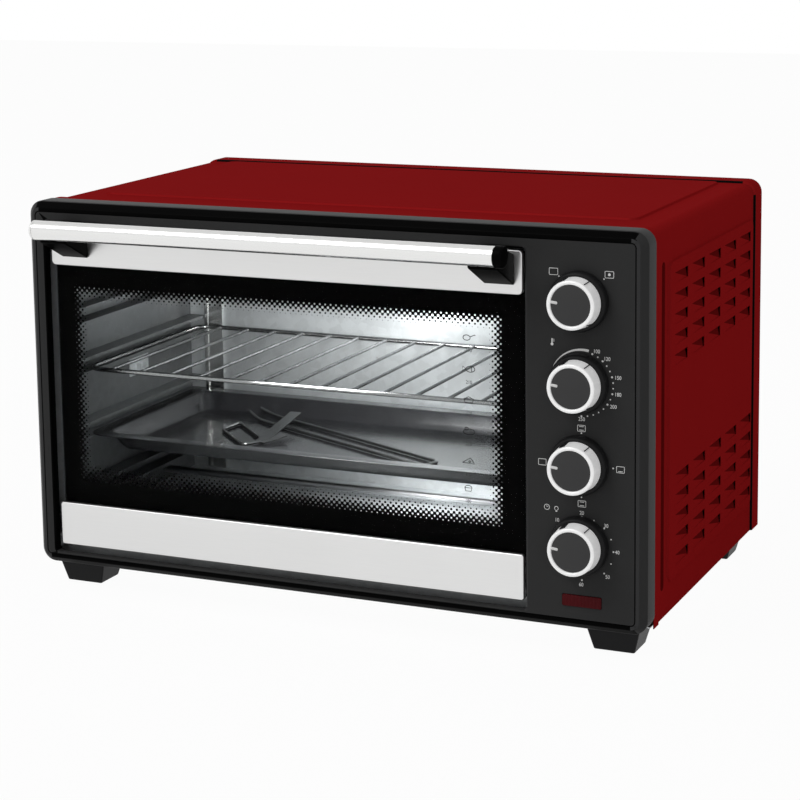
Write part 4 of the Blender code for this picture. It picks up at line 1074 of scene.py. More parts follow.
def dotted_print(band, sizes):
    """Black print whose dots shrink inwards from the outer sides of a band."""
    look = {"bump": 0.05, "specular": 0.02, "tone": 0.2, "smudge": 0.2}
    material = finish("Printed border", "coat", (0.0012, 0.0011, 0.0011), 0.6, **look)
    tree = material.node_tree
    place = object_place(tree)
    parts = put_node(tree, "ShaderNodeSeparateXYZ", {0: place}).outputs
    across, up = parts["X"], parts["Z"]
    left, right, low, high = band
    pitch = 2 * math.pi / sizes.dot_pitch
    waves = [math_node(tree, "COSINE", math_node(tree, "MULTIPLY", value, pitch)) for value in (across, up)]
    pattern = math_node(tree, "MULTIPLY", *waves)
    reaches = (
        math_node(tree, "SUBTRACT", across, left),
        math_node(tree, "SUBTRACT", right, across),
        math_node(tree, "MULTIPLY", math_node(tree, "SUBTRACT", up, low), 0.72),
        math_node(tree, "SUBTRACT", high, up),
    )
    sideways_in = math_node(tree, "SMOOTH_MIN", *reaches[:2], CORNER_BLEND)
    upright_in = math_node(tree, "SMOOTH_MIN", *reaches[2:], CORNER_BLEND)
    inwards = math_node(tree, "SMOOTH_MIN", sideways_in, upright_in, CORNER_BLEND)
    fade = {"Value": inwards, "From Min": 0.0, "From Max": sizes.dot_band, "To Min": -1.06, "To Max": 1.0}
    limit = put_node(tree, "ShaderNodeMapRange", fade).outputs[0]
    alpha = math_node(tree, "GREATER_THAN", pattern, limit)
    tree.links.new(alpha, principled(material)["Alpha"])
    return material


# Handle

# The tube's wall and softened ends; the caps' gap to its end and to its bore, chamfer and rounded end
TUBE_WALL, TUBE_EDGE = 0.001, 0.0004
CAP_GAP, PLUG_GAP, CAP_CHAMFER, CAP_ROUNDING = 0.00006, 0.0002, 0.0003, 0.0016


class OVEN_OT_handle(bpy.types.Operator):
    """Make the tubular handle, its end caps and its two moulded brackets"""

    bl_idname = "oven.handle"
    bl_label = "Handle"

    def execute(self, context):
        self.tube()
        for side, name, slot, material in (
            (-1, "left", "bright_steel", bright_steel()),
            (1, "right", "black_plastic", gloss_plastic()),
        ):
            self.cap(side, name, slot, material)
            soft = {"edge": 0.0011, "edge_steps": 3, "sharp": 24}
            softened(f"handle_bracket_{name}", "door", "black_plastic", gloss_plastic(), **soft)
        return {"FINISHED"}

    def axis(self):
        """The middle of the bar, and its radius."""
        _, _, front, rear, low, high = span("handle_bar")
        return at(0, (front + rear) / 2, (low + high) / 2), (high - low) / 2

    def tube(self):
        """The bar, a tube with softened ends."""
        left, right = span("handle_bar")[:2]
        centre, radius = self.axis()
        inner, edge = radius - TUBE_WALL, radius - TUBE_EDGE
        profile = [(inner, left), (edge, left), (radius, left + TUBE_EDGE)]
        profile += [(radius, right - TUBE_EDGE), (edge, right), (inner, right)]
        bm = bmesh.new()
        turned(bm, profile, centre, "X", closed=True)
        finished("handle_bar_tube", bm, "door", "bright_steel", bright_steel(), ("handle_bar",))

    def cap(self, side, name, slot, material):
        """An end cap: a plug in the tube, and a head with a rounded end."""
        left, right = span("handle_bar")[:2]
        centre, radius = self.axis()
        near, far, _, _, floor, top = span(f"handle_cap_{name}")
        plug, head = radius - TUBE_WALL - PLUG_GAP, (top - floor) / 2
        seat = left - CAP_GAP if side < 0 else right + CAP_GAP
        tail, end = (far, near) if side < 0 else (near, far)
        rounding = min(CAP_ROUNDING, abs(end - seat) * 0.8)
        profile = [(0, tail), (plug, tail), (plug, seat)]
        profile += [(head - CAP_CHAMFER, seat), (head, seat + side * CAP_CHAMFER)]
        for step in range(7):
            angle = math.radians(15 * step)
            place = end - side * rounding * (1 - math.sin(angle))
            profile.append((head - rounding * (1 - math.cos(angle)), place))
        profile.append((0, end))
        bm = bmesh.new()
        turned(bm, profile, centre, "X")
        finished(f"handle_end_{name}", bm, "door", slot, material, (f"handle_cap_{name}",))


# Controls

# A knob's shoulder and face and the height of its skirt's edge; the ring's front, bore and rolled edge
SHOULDER, FACE, SKIRT_EDGE = 0.0208, 0.0156, 0.0036
# The chamfer at the skirt's foot, and the rounding from the bore's wall to the face, inwards and in depth
FOOT_CHAMFER, FACE_ROUND = 0.0006, ((0, 0.0005), (0.0002, 0.00015), (0.0006, 0))
RING_FRONT, RING_BORE, RING_ROLL = 0.0188, 0.0157, 0.0013
# The keys that stand out through the ring's side: their angle from three o'clock and their width
KEYS = ((113, 0.0044), (57, 0.0007), (-50, 0.0007))
KEY_LEAN, KEY_RADIUS, KEY_THICKNESS = 0.0009, 0.0190, 0.0017
# The pointer's outer and inner ends, half its width, its corners and its turn above nine o'clock
POINTER_OUT, POINTER_IN, POINTER_HALF, POINTER_ROUND, POINTER_TURN = 0.0157, 0.0102, 0.0011, 0.0009, 7


class OVEN_OT_knobs(bpy.types.Operator):
    """Make the four knobs with their bright rings, pointers and shafts"""

    bl_idname = "oven.knobs"
    bl_label = "Knobs"

    def execute(self, context):
        for key in CONTROLS:
            body = f"{key}_control"
            centre = knob_centre(key)
            self.knob(key, body, centre)
            self.ring(key, body, centre)
            self.pointer(key, body, centre)
            refinish(plain_steel(), f"knob_shaft_{key}")
        refinish(black_plastic(), "function_switch", "thermostat_body", "heat_switch", "timer_body")
        return {"FINISHED"}

    def knob(self, key, body, centre):
        """The black skirt, its domed shoulder, the face inside the ring and the keys through its side."""
        _, _, front, rear, low, high = span(f"knob_{key}")
        ring_front, ring_rear = span(f"knob_ring_{key}")[2:4]
        skirt = (high - low) / 2
        profile = [(0, rear), (skirt - FOOT_CHAMFER, rear)]
        profile += [(skirt, rear - FOOT_CHAMFER), (skirt, rear - SKIRT_EDGE)]
        for step in range(1, 8):
            angle = math.radians(90 * step / 7)
            radius = SHOULDER + (skirt - SHOULDER) * math.cos(angle)
            profile.append((radius, rear - SKIRT_EDGE + (ring_rear - rear + SKIRT_EDGE) * math.sin(angle)))
        profile.append((FACE, ring_rear))
        profile += [(FACE - inset, front + depth) for inset, depth in FACE_ROUND]
        profile.append((0, front))
        bm = bmesh.new()
        turned(bm, profile, centre, "Y", steps=96)
        lean = math.atan2(KEY_LEAN, ring_rear - ring_front)
        middle = (KEY_RADIUS, (ring_front + ring_rear) / 2 + 0.0009, 0)
        for angle, width in KEYS:
            turn = Matrix.Translation(centre) @ Matrix.Rotation(-math.radians(angle), 4, "Y")
            place = Matrix.Translation(middle) @ Matrix.Rotation(-lean, 4, "Z")
            size = Matrix.Diagonal((KEY_THICKNESS, ring_rear - ring_front - 0.0030, width, 1))
            bmesh.ops.create_cube(bm, size=1, matrix=turn @ place @ size)
        made = {"replaced": (f"knob_{key}",), "sharp": 40}
        knob = finished(f"knob_{key}_moulded", bm, body, "black_plastic", black_plastic(), **made)
        knob.data.materials.append(knob_face())
        for polygon in knob.data.polygons:
            polygon.material_index = int(polygon.center.y < FACE_PLANE + front + 0.0006)

    def ring(self, key, body, centre):
        """The bright ring: a tapered side and a rolled front edge."""
        node = f"knob_ring_{key}"
        _, _, front, rear, low, high = span(node)
        outer, middle = (high - low) / 2, (RING_FRONT + RING_BORE) / 2
        profile = [(RING_BORE, rear), (outer, rear), (RING_FRONT, front + RING_ROLL)]
        for step in range(1, 9):
            angle = math.radians(22.5 * step)
            radius = middle + (RING_FRONT - middle) * math.cos(angle)
            profile.append((radius, front + RING_ROLL * (1 - math.sin(angle))))
        bm = bmesh.new()
        turned(bm, profile, centre, "Y", steps=96, closed=True)
        finished(f"{node}_plated", bm, body, "chrome_ring", chrome(), (node,), sharp=50)

    def pointer(self, key, body, centre):
        """The white rounded bar that points a little above nine o'clock."""
        front = span(f"knob_{key}")[2]
        across, up = centre.x, centre.z
        sides = (across - POINTER_OUT, across - POINTER_IN, up - POINTER_HALF, up + POINTER_HALF)
        folds = ((0, front + 0.0002), (0, front - 0.0001), (0.0002, front - 0.0003))
        bm = bmesh.new()
        rims = [upright_rim(bm, sides, POINTER_ROUND, inset, depth, steps=5) for inset, depth in folds]
        closed_skin(bm, rims)
        turn = Matrix.Rotation(math.radians(POINTER_TURN), 3, "Y")
        bmesh.ops.rotate(bm, cent=centre, matrix=turn, verts=bm.verts)
        finished(f"knob_{key}_pointer", bm, body, "black_plastic", white_print(), sharp=50)


# Dials

# The thickness of the ink
PRINT = 0.00006
# How far the printed circles' middle stands off the knobs' axes, and the circle that the dots stand on
DIAL_SHIFT, TIMER_SHIFT = Vector((0.0012, 0, -0.0005)), Vector((0.0004, 0, -0.0021))
DOTS_ACROSS, DOTS_UP = 0.0252, 0.0250
# The function dial's signs, off and on: the box's place, its mark's place, and the size of its bright middle
FUNCTIONS = ((-0.0221, 0.0216, -0.0178, 0.0182, 0), (0.0220, 0.0215, 0.0178, 0.0180, 0.0022))
# The width and height of the boxes, and the sizes of the dots
FUNCTION_BOX, OVEN_BOX, ELEMENT = (0.0068, 0.0050), (0.0062, 0.0048), (0.0036, 0.0005)
FUNCTION_DOT, WARMTH_DOT, BETWEEN_DOT, HEAT_DOT = 0.0012, 0.0016, 0.0012, 0.0013
TEN_MINUTES_DOT, FIVE_MINUTES_DOT = 0.0014, 0.0011
# The places of the other signs, from the middle of their dial
THERMOMETER, CLOCK, BULB = (-0.0234, 0.0308), (-0.0279, 0.0278), (-0.0202, 0.0270)
# The numbers' places from the middle of their dial, across and up
HEATS = {
    100: (0.0124, 0.0258),
    120: (0.0206, 0.0206),
    150: (0.0292, 0.0068),
    180: (0.0292, -0.0060),
    200: (0.0253, -0.0156),
    250: (0.0002, -0.0272),
}
MINUTES = {
    10: (-0.0194, 0.0184),
    20: (0.0003, 0.0259),
    30: (0.0198, 0.0178),
    40: (0.0286, -0.0021),
    50: (0.0210, -0.0222),
    60: (-0.0002, -0.0306),
}
# Where the thermostat's larger dots stand, in degrees from three o'clock, and the small ones up to the next
HEAT_DOTS = ((70, 1), (48, 2), (16, 2), (-14, 1), (-35, 4), (-90, 0))
# The heat selector's oven signs: how far their elements stand off the middle; then each one's place across
# and up, and its working elements, 1 above, -1 below
ELEMENT_UP = 0.0014
OVENS = (
    (0, 0.0287, (1, -1)),
    (-0.0315, -0.0002, ()),
    (0.0310, -0.0006, (-1,)),
    (0.0004, -0.0301, (1, -1)),
)
# The widening arc over the thermostat: its ends, step and length in degrees, its radii and how much it widens
ARC_START, ARC_END, ARC_STEP, ARC_LENGTH = 153, 76, -4, 74
ARC_INNER, ARC_OUTER, ARC_GROWTH = 0.0253, 0.0256, 0.0017


def flat_print(bm, paths, width, closed=False):
    """Printed lines of one width on the frame's face, as round wire pressed nearly flat."""
    made = bmesh.new()
    add_wires(made, paths, width / 2, closed, sides=1)
    place = Matrix.Translation((0, FACE_PLANE, 0))
    bmesh.ops.scale(made, vec=(1, 0.12, 1), space=place.inverted(), verts=made.verts)
    join(bm, made)


def join(bm, other):
    """Adds one mesh under way to another."""
    mesh = bpy.data.meshes.new("part")
    other.to_mesh(mesh)
    other.free()
    bm.from_mesh(mesh)
    bpy.data.meshes.remove(mesh)


def add_dot(bm, across, up, size):
    """A printed round dot."""
    place = Matrix.Translation(at(across, 0, up)) @ Matrix.Rotation(math.pi / 2, 4, "X")
    round_shape = {"segments": 14, "radius1": size / 2, "radius2": size / 2}
    bmesh.ops.create_cone(bm, cap_ends=True, depth=PRINT, matrix=place, **round_shape)


def add_square(bm, across, up, width, height):
    """A printed filled rectangle."""
    place = Matrix.Translation(at(across, 0, up))
    bmesh.ops.create_cube(bm, size=1, matrix=place @ Matrix.Diagonal((width, PRINT, height, 1)))


def add_number(bm, number, across, up, height):
    """A printed number, set in the middle of its place."""
    words = bpy.data.curves.new("number", "FONT")
    words.body = str(number)
    words.extrude = 0.01
    words.resolution_u = 4
    words.offset = 0.008
    holder = bpy.data.objects.new("number", words)
    mesh = bpy.data.meshes.new_from_object(holder)
    bpy.data.objects.remove(holder)
    bpy.data.curves.remove(words)
    xs = [vertex.co.x for vertex in mesh.vertices]
    ys = [vertex.co.y for vertex in mesh.vertices]
    scale = height / (max(ys) - min(ys))
    shift = Matrix.Translation((-(max(xs) + min(xs)) / 2, -(max(ys) + min(ys)) / 2, 0))
    size = Matrix.Diagonal((scale * 0.86, scale, 0.003, 1))
    upright = Matrix.Translation(at(across, 0, up)) @ Matrix.Rotation(math.pi / 2, 4, "X")
    mesh.transform(upright @ size @ shift)
    bm.from_mesh(mesh)
    bpy.data.meshes.remove(mesh)


class OVEN_OT_dials(bpy.types.Operator):
    """Print the numbers, dots and signs round the knobs"""

    bl_idname = "oven.dials"
    bl_label = "Dials"

    def execute(self, context):
        sizes = context.scene.oven_controls
        middle = {key: knob_centre(key) + DIAL_SHIFT for key in CONTROLS}
        bm = bmesh.new()
        self.function_marks(bm, middle["function"], sizes)
        self.thermostat_marks(bm, middle["thermostat"], sizes)
        self.heat_marks(bm, middle["heat"], sizes)
        self.timer_marks(bm, middle["timer"], sizes)
        finished("dial_print", bm, "chassis", "switch_plastic", white_print())
        return {"FINISHED"}

    def function_marks(self, bm, centre, sizes):
        """Off, an empty box, at the upper left; on, a box with a bright middle, at the upper right."""
        x, z = centre.x, centre.z
        for across, up, mark_across, mark_up, middle in FUNCTIONS:
            self.box(bm, x + across, z + up, *FUNCTION_BOX, sizes.stroke)
            if middle:
                add_dot(bm, x + across, z + up, middle)
            add_dot(bm, x + mark_across, z + mark_up, FUNCTION_DOT)

    def numbers(self, bm, centre, places, sizes):
        """The numbers of one dial."""
        for number, (across, up) in places.items():
            add_number(bm, number, centre.x + across, centre.z + up, sizes.number_height)

    def thermostat_marks(self, bm, centre, sizes):
        """A thermometer, a widening arc, and the temperatures."""
        self.thermometer(bm, centre.x + THERMOMETER[0], centre.z + THERMOMETER[1], sizes.stroke)
        self.wedge(bm, centre)
        self.numbers(bm, centre, HEATS, sizes)
        following = [angle for angle, _ in HEAT_DOTS[1:]] + [None]
        for (angle, between), end in zip(HEAT_DOTS, following):
            self.mark(bm, centre, angle, WARMTH_DOT)
            for step in range(between):
                share = (step + 1) / (between + 1)
                self.mark(bm, centre, angle + (end - angle) * share, BETWEEN_DOT)

    def heat_marks(self, bm, centre, sizes):
        """An oven sign with its working elements at each quarter."""
        for across, up, elements in OVENS:
            x, z = centre.x + across, centre.z + up
            self.box(bm, x, z, *OVEN_BOX, sizes.stroke)
            for side in elements:
                add_square(bm, x, z + side * ELEMENT_UP, *ELEMENT)
        for angle in (90, 180, 0, -90):
            self.mark(bm, centre, angle, HEAT_DOT)

    def timer_marks(self, bm, centre, sizes):
        """A clock, a lamp, and the minutes, with a dot for every five from 10 to 50, then for 60."""
        x, z = centre.x, centre.z
        self.clock(bm, x + CLOCK[0], z + CLOCK[1], sizes.stroke)
        self.bulb(bm, x + BULB[0], z + BULB[1], sizes.stroke)
        self.numbers(bm, centre, MINUTES, sizes)
        for step in (*range(9), 10):
            size = TEN_MINUTES_DOT if step % 2 == 0 else FIVE_MINUTES_DOT
            self.mark(bm, centre + TIMER_SHIFT, 135 - 22.5 * step, size)

    def mark(self, bm, centre, angle, size):
        """A dot on the dial's circle, with its angle from three o'clock."""
        turn = math.radians(angle)
        add_dot(bm, centre.x + DOTS_ACROSS * math.cos(turn), centre.z + DOTS_UP * math.sin(turn), size)

    def box(self, bm, across, up, width, height, stroke):
        """A printed outline of a rounded box."""
        made = bmesh.new()
        sides = (across - width / 2, across + width / 2, up - height / 2, up + height / 2)
        face = rounded_face(made, sides, 0.0005, facing(0), steps=3)
        path = [vertex.co.copy() for vertex in face.verts]
        made.free()
        flat_print(bm, [path], stroke, closed=True)

    def wedge(self, bm, centre):
        """The arc that widens towards the hotter end."""
        made = bmesh.new()
        rims = []
        angles = range(ARC_START, ARC_END, ARC_STEP)
        widening = [(ARC_OUTER + ARC_GROWTH * (ARC_START - angle) / ARC_LENGTH, angle) for angle in angles]
        for depth in (-PRINT / 2, PRINT / 2):
            middle = centre + Vector((0, depth, 0))
            inner = [made.verts.new(middle + self.polar(ARC_INNER, angle)) for angle in angles]
            outer = [made.verts.new(middle + self.polar(*pair)) for pair in widening]
            loop = inner + outer[::-1]
            rims.append([made.edges.new(pair) for pair in zip(loop, loop[1:] + loop[:1])])
        skin(made, rims)
        for rim in rims:
            fill(made, [rim])
        join(bm, made)

    def polar(self, radius, angle):
        """An offset in the face's plane from a radius and an angle."""
        turn = math.radians(angle)
        return Vector((radius * math.cos(turn), 0, radius * math.sin(turn)))

    def thermometer(self, bm, across, up, stroke):
        """A bulb with its tube."""
        add_dot(bm, across, up - 0.0018, 0.0022)
        flat_print(bm, [[at(across, 0, up - 0.0010), at(across, 0, up + 0.0026)]], stroke * 1.8)
        for step in range(3):
            add_square(bm, across + 0.0014, up + 0.0008 * step + 0.0004, 0.0010, 0.0003)

    def clock(self, bm, across, up, stroke):
        """A dial with two hands."""
        centre = at(across, 0, up)
        circle = [centre + self.polar(0.0021, angle) for angle in range(0, 360, 20)]
        flat_print(bm, [circle], stroke, closed=True)
        hands = [centre + Vector((0, 0, 0.0014)), centre, centre + Vector((0.0010, 0, 0.0006))]
        flat_print(bm, [hands], stroke * 0.8)

    def bulb(self, bm, across, up, stroke):
        """A lamp with its cap."""
        centre = at(across, 0, up + 0.0004)
        circle = [centre + self.polar(0.0015, angle) for angle in range(-60, 241, 20)]
        flat_print(bm, [circle], stroke)
        add_square(bm, across, up - 0.0017, 0.0014, 0.0010)


# Cavity and what stands in it

# The depths and the height of the left wall's two rivets, and the place of the back wall's one, across and up
LEFT_RIVETS, LEFT_RIVET_UP = (0.137, 0.156), 0.1655
BACK_RIVET = (-0.062, 0.1645)
RIVET_RADIUS, RIVET_FLATNESS = 0.0032, 0.3
# The corner strip's flat and its two beads: each one's gap to the left wall, width and stand off the back
CORNER_STRIP = ((0.0012, 0.019, 0.0004), (0.0012, 0.0035, 0.0016), (0.0167, 0.0035, 0.0016))


class OVEN_OT_cavity(bpy.types.Operator):
    """Make the galvanised cavity with its ledges, rods, rivets and spit fittings"""

    bl_idname = "oven.cavity"
    bl_label = "Cavity"

    def execute(self, context):
        walls = ("left_wall", "right_wall", "back_wall", "floor", "roof", "surround")
        for wall in walls:
            # The left wall gets a darker copy of the sheet: painted shade
            sheet = zinc_sheet("Galvanised sheet in painted shade", 0.26) if wall == "left_wall" else zinc_sheet()
            softened(f"cavity_{wall}", "chassis", "galvanised_steel", sheet, 0, sharp=20)
        refinish(zinc_sheet(), "control_partition")
        for place in ("lower_front", "lower_rear", "upper_front", "upper_rear"):
            softened(f"heater_{place}", "chassis", "plain_steel", plain_steel(), 0.0003)
        softened("spit_socket", "spit_drive", "plain_steel", plain_steel(), 0.0003)
        softened("spit_rest", "chassis", "galvanised_steel", zinc_sheet(), 0.0002)
        refinish(dark_sheet(), "spit_motor")
        self.corner_strip()
        self.rivets()
        return {"FINISHED"}

    def corner_strip(self):
        """The bright strip that covers the seam of the left and back walls."""
        wall, back = span("cavity_left_wall")[1], span("cavity_back_wall")[2]
        low, high = span("cavity_floor")[5] + 0.001, span("cavity_roof")[4] - 0.001
        bm = bmesh.new()
        for gap, width, stand in CORNER_STRIP:
            add_block(bm, at(wall + gap, back - stand, low), at(wall + gap + width, back + 0.0002, high))
        finished("cavity_corner_strip", bm, "chassis", "galvanised_steel", bright_steel(), edge=0.0003)

    def rivets(self):
        """Small rivets of the left and back walls."""
        wall, back = span("cavity_left_wall")[0] + 0.0009, span("cavity_back_wall")[2] + 0.0009
        bm = bmesh.new()
        for depth in LEFT_RIVETS:
            self.rivet(bm, at(wall, depth, LEFT_RIVET_UP), "left")
        across, up = BACK_RIVET
        self.rivet(bm, at(across, back, up), "back")
        finished("cavity_screws", bm, "chassis", "plain_steel", plain_steel())

    def rivet(self, bm, place, side):
        """A low domed head, flat against the left or the back wall."""
        size = (RIVET_FLATNESS, 1, 1) if side == "left" else (1, RIVET_FLATNESS, 1)
        head = Matrix.Translation(place)
        ball = bmesh.ops.create_uvsphere(bm, u_segments=20, v_segments=10, radius=RIVET_RADIUS, matrix=head)
        bmesh.ops.scale(bm, vec=size, space=head.inverted(), verts=ball["verts"])


# The radii of the rack's rail and bars, and of the rail's corners
RAIL, BAR, RAIL_CORNER = 0.002, 0.0014, 0.014
# The rack's bars: how many, and the first one's place and their step as shares of its width
BARS, FIRST_BAR, BAR_STEP = 13, 0.0565, 0.0711


class OVEN_OT_rack(bpy.types.Operator):
    """Make the wire rack: a bent rail with bars from front to back"""

    bl_idname = "oven.rack"
    bl_label = "Rack"

    def execute(self, context):
        left, right, front, rear, low, high = span("wire_rack")
        height = (low + high) / 2
        sides = grown((left, right, front, rear), -RAIL)
        made = bmesh.new()
        face = rounded_face(made, sides, RAIL_CORNER, lying(height), steps=8)
        rail = [vertex.co.copy() for vertex in face.verts]
        made.free()
        bm = bmesh.new()
        add_wires(bm, [rail], RAIL, closed=True)
        bars = []
        for row in range(BARS):
            across = sides[0] + (sides[1] - sides[0]) * (FIRST_BAR + BAR_STEP * row)
            bars.append([at(across, sides[2], height), at(across, sides[3], height)])
        add_wires(bm, bars, BAR)
        finished("wire_rack_bent", bm, "rack", "bright_steel", rack_plating(), ("wire_rack",), sharp=40)
        return {"FINISHED"}


# The tray's sheet, its flat rim and the flare of its walls, and how far its bends reach
TRAY_SHEET, TRAY_RIM, TRAY_FLARE, TRAY_BEND = 0.0008, 0.0145, 0.007, 0.003
# The tools' wire, its bends, and their gap to the tray's floor
TOOL_WIRE, TOOL_BEND, TOOL_GAP = 0.0016, 0.005, 0.0003
# Where the tools lie, in shares of the tray's width and depth, each point with its rise: the fork's two
# sides, the grip's corners, then the root and the ends of the jaws
FORK_NEAR = ((0.188, 0.800, 0.004), (0.215, 0.765, 0), (0.239, 0.727, 0), (0.725, 0.256, 0))
FORK_FAR = ((0.197, 0.877, 0.004), (0.230, 0.862, 0), (0.256, 0.827, 0), (0.740, 0.345, 0))
GRIP = ((0.199, 0.662, 0), (0.192, 0.521, 0), (0.2975, 0.306, 0), (0.323, 0.401, 0))
JAW_ROOT, JAW_ENDS = (0.322, 0.375, 0), ((0.322, 0.727, 0.0125), (0.353, 0.480, 0.0045))
JAW_WIDTH, JAW_SHEET = 0.011, 0.0012


class OVEN_OT_tray(bpy.types.Operator):
    """Make the enamelled baking tray and the two loose tools in it"""

    bl_idname = "oven.tray"
    bl_label = "Tray"

    def execute(self, context):
        left, right, front, rear, low, high = span("baking_tray")
        floor = low + TRAY_SHEET
        edge = (left, right, front, rear)
        rims = []
        bm = bmesh.new()
        for inset, radius, height in self.profile(floor, high):
            rims.append(rim_of(bm, rounded_face(bm, grown(edge, -inset), radius, lying(height), steps=8)))
        skin(bm, rims)
        fill(bm, [rims[-1]])
        bmesh.ops.recalc_face_normals(bm, faces=bm.faces)
        if max(bm.faces, key=lambda face: face.calc_area()).normal.z < 0:
            bmesh.ops.reverse_faces(bm, faces=bm.faces)
        made = {"replaced": ("baking_tray",), "thickness": TRAY_SHEET}
        finished("baking_tray_enamelled", bm, "tray", "tray_enamel", enamel(), **made)
        self.tools(edge, floor + TOOL_GAP + TOOL_WIRE)
        return {"FINISHED"}

    def profile(self, floor, high):
        """Insets, corner radii and heights from the rim's outer edge over soft bends to the basin's floor."""
        steps = [(0, 0.018, high - 0.0006), (0.0001, 0.018, high - 0.0003), (0.0005, 0.0176, high)]
        shares = [step / 4 for step in range(5)]
        for share in shares:
            drop = 0.6 * TRAY_BEND * share * share
            steps.append((TRAY_RIM - TRAY_BEND * (1 - share), 0.0125 - 0.0005 * share, high - drop))
        for share in shares:
            inset = TRAY_RIM + TRAY_FLARE - TRAY_BEND * (1 - share) ** 2 + 0.0006 * share
            steps.append((inset, 0.012, floor + 1.6 * TRAY_BEND * (1 - share) ** 2))
        return steps

    def tools(self, edges, height):
        """The long fork that lifts the spit, and the tray's lifting handle with its two jaws."""
        left, right, front, rear = edges

        def place(across, depth, rise):
            """A point over the tray's floor."""
            return at(left + across * (right - left), front + depth * (rear - front), height + rise)

        fork = [place(*point) for point in FORK_NEAR + FORK_FAR[::-1]]
        bm = bmesh.new()
        add_wires(bm, [bent(fork, TOOL_BEND)], TOOL_WIRE)
        made = {"replaced": ("spit_lifter",), "sharp": 40}
        finished("spit_lifter_wire", bm, "tray", "bright_steel", rack_plating(), **made)
        corners = [place(*point) for point in GRIP]
        seam = corners[0].lerp(corners[1], 0.5)
        loop = [seam, *corners[1:], corners[0], seam]
        bm = bmesh.new()
        add_wires(bm, [bent(loop, TOOL_BEND)[:-1]], TOOL_WIRE, closed=True)
        for across, depth, rise in JAW_ENDS:
            self.jaw(bm, place(*JAW_ROOT), place(across, depth, rise - TOOL_WIRE))
        made = {"replaced": ("tray_lifter",), "edge": 0.0002, "sharp": 40}
        finished("tray_lifter_bent", bm, "tray", "bright_steel", rack_plating(), **made)

    def jaw(self, bm, start, end):
        """A flat plate between two points, as level as its slope lets it."""
        along = (end - start).normalized()
        across = along.cross(Vector((0, 0, 1))).normalized()
        turn = Matrix((along, across, across.cross(along))).transposed().to_4x4()
        size = Matrix.Diagonal(((end - start).length, JAW_WIDTH, JAW_SHEET, 1))
        bmesh.ops.create_cube(bm, size=1, matrix=Matrix.Translation((start + end) / 2) @ turn @ size)


# Studio

# The camera's place, its turn from straight on, its tilt down and its roll, in degrees, and its lens shift
CAMERA_PLACE = (0.75932, -1.6889, 0.58182)
CAMERA_TURN, CAMERA_TILT, CAMERA_ROLL = 24.045, 8.9398, -0.7604
CAMERA_SHIFT = -0.2
# Each lamp's place, target and size; those in the cavity are given as across, depth and up
KEY_LAMP = ((-1.2, -1.9, 2.8), (0.0, 0.0, 0.15), 1.8)
SIDE_LAMP = ((2.4, -0.7, 1.0), (0.25, 0.0, 0.15), 1.4)
OVEN_LAMP = ((-0.04, 0.035, 0.24), (-0.02, 0.3, 0.15), 0.1)
# The side lamp's power as a share of the key lamp's, and the lower oven lamp's as a share of the upper's
SIDE_SHARE, LOWER_SHARE = 0.03, 0.3


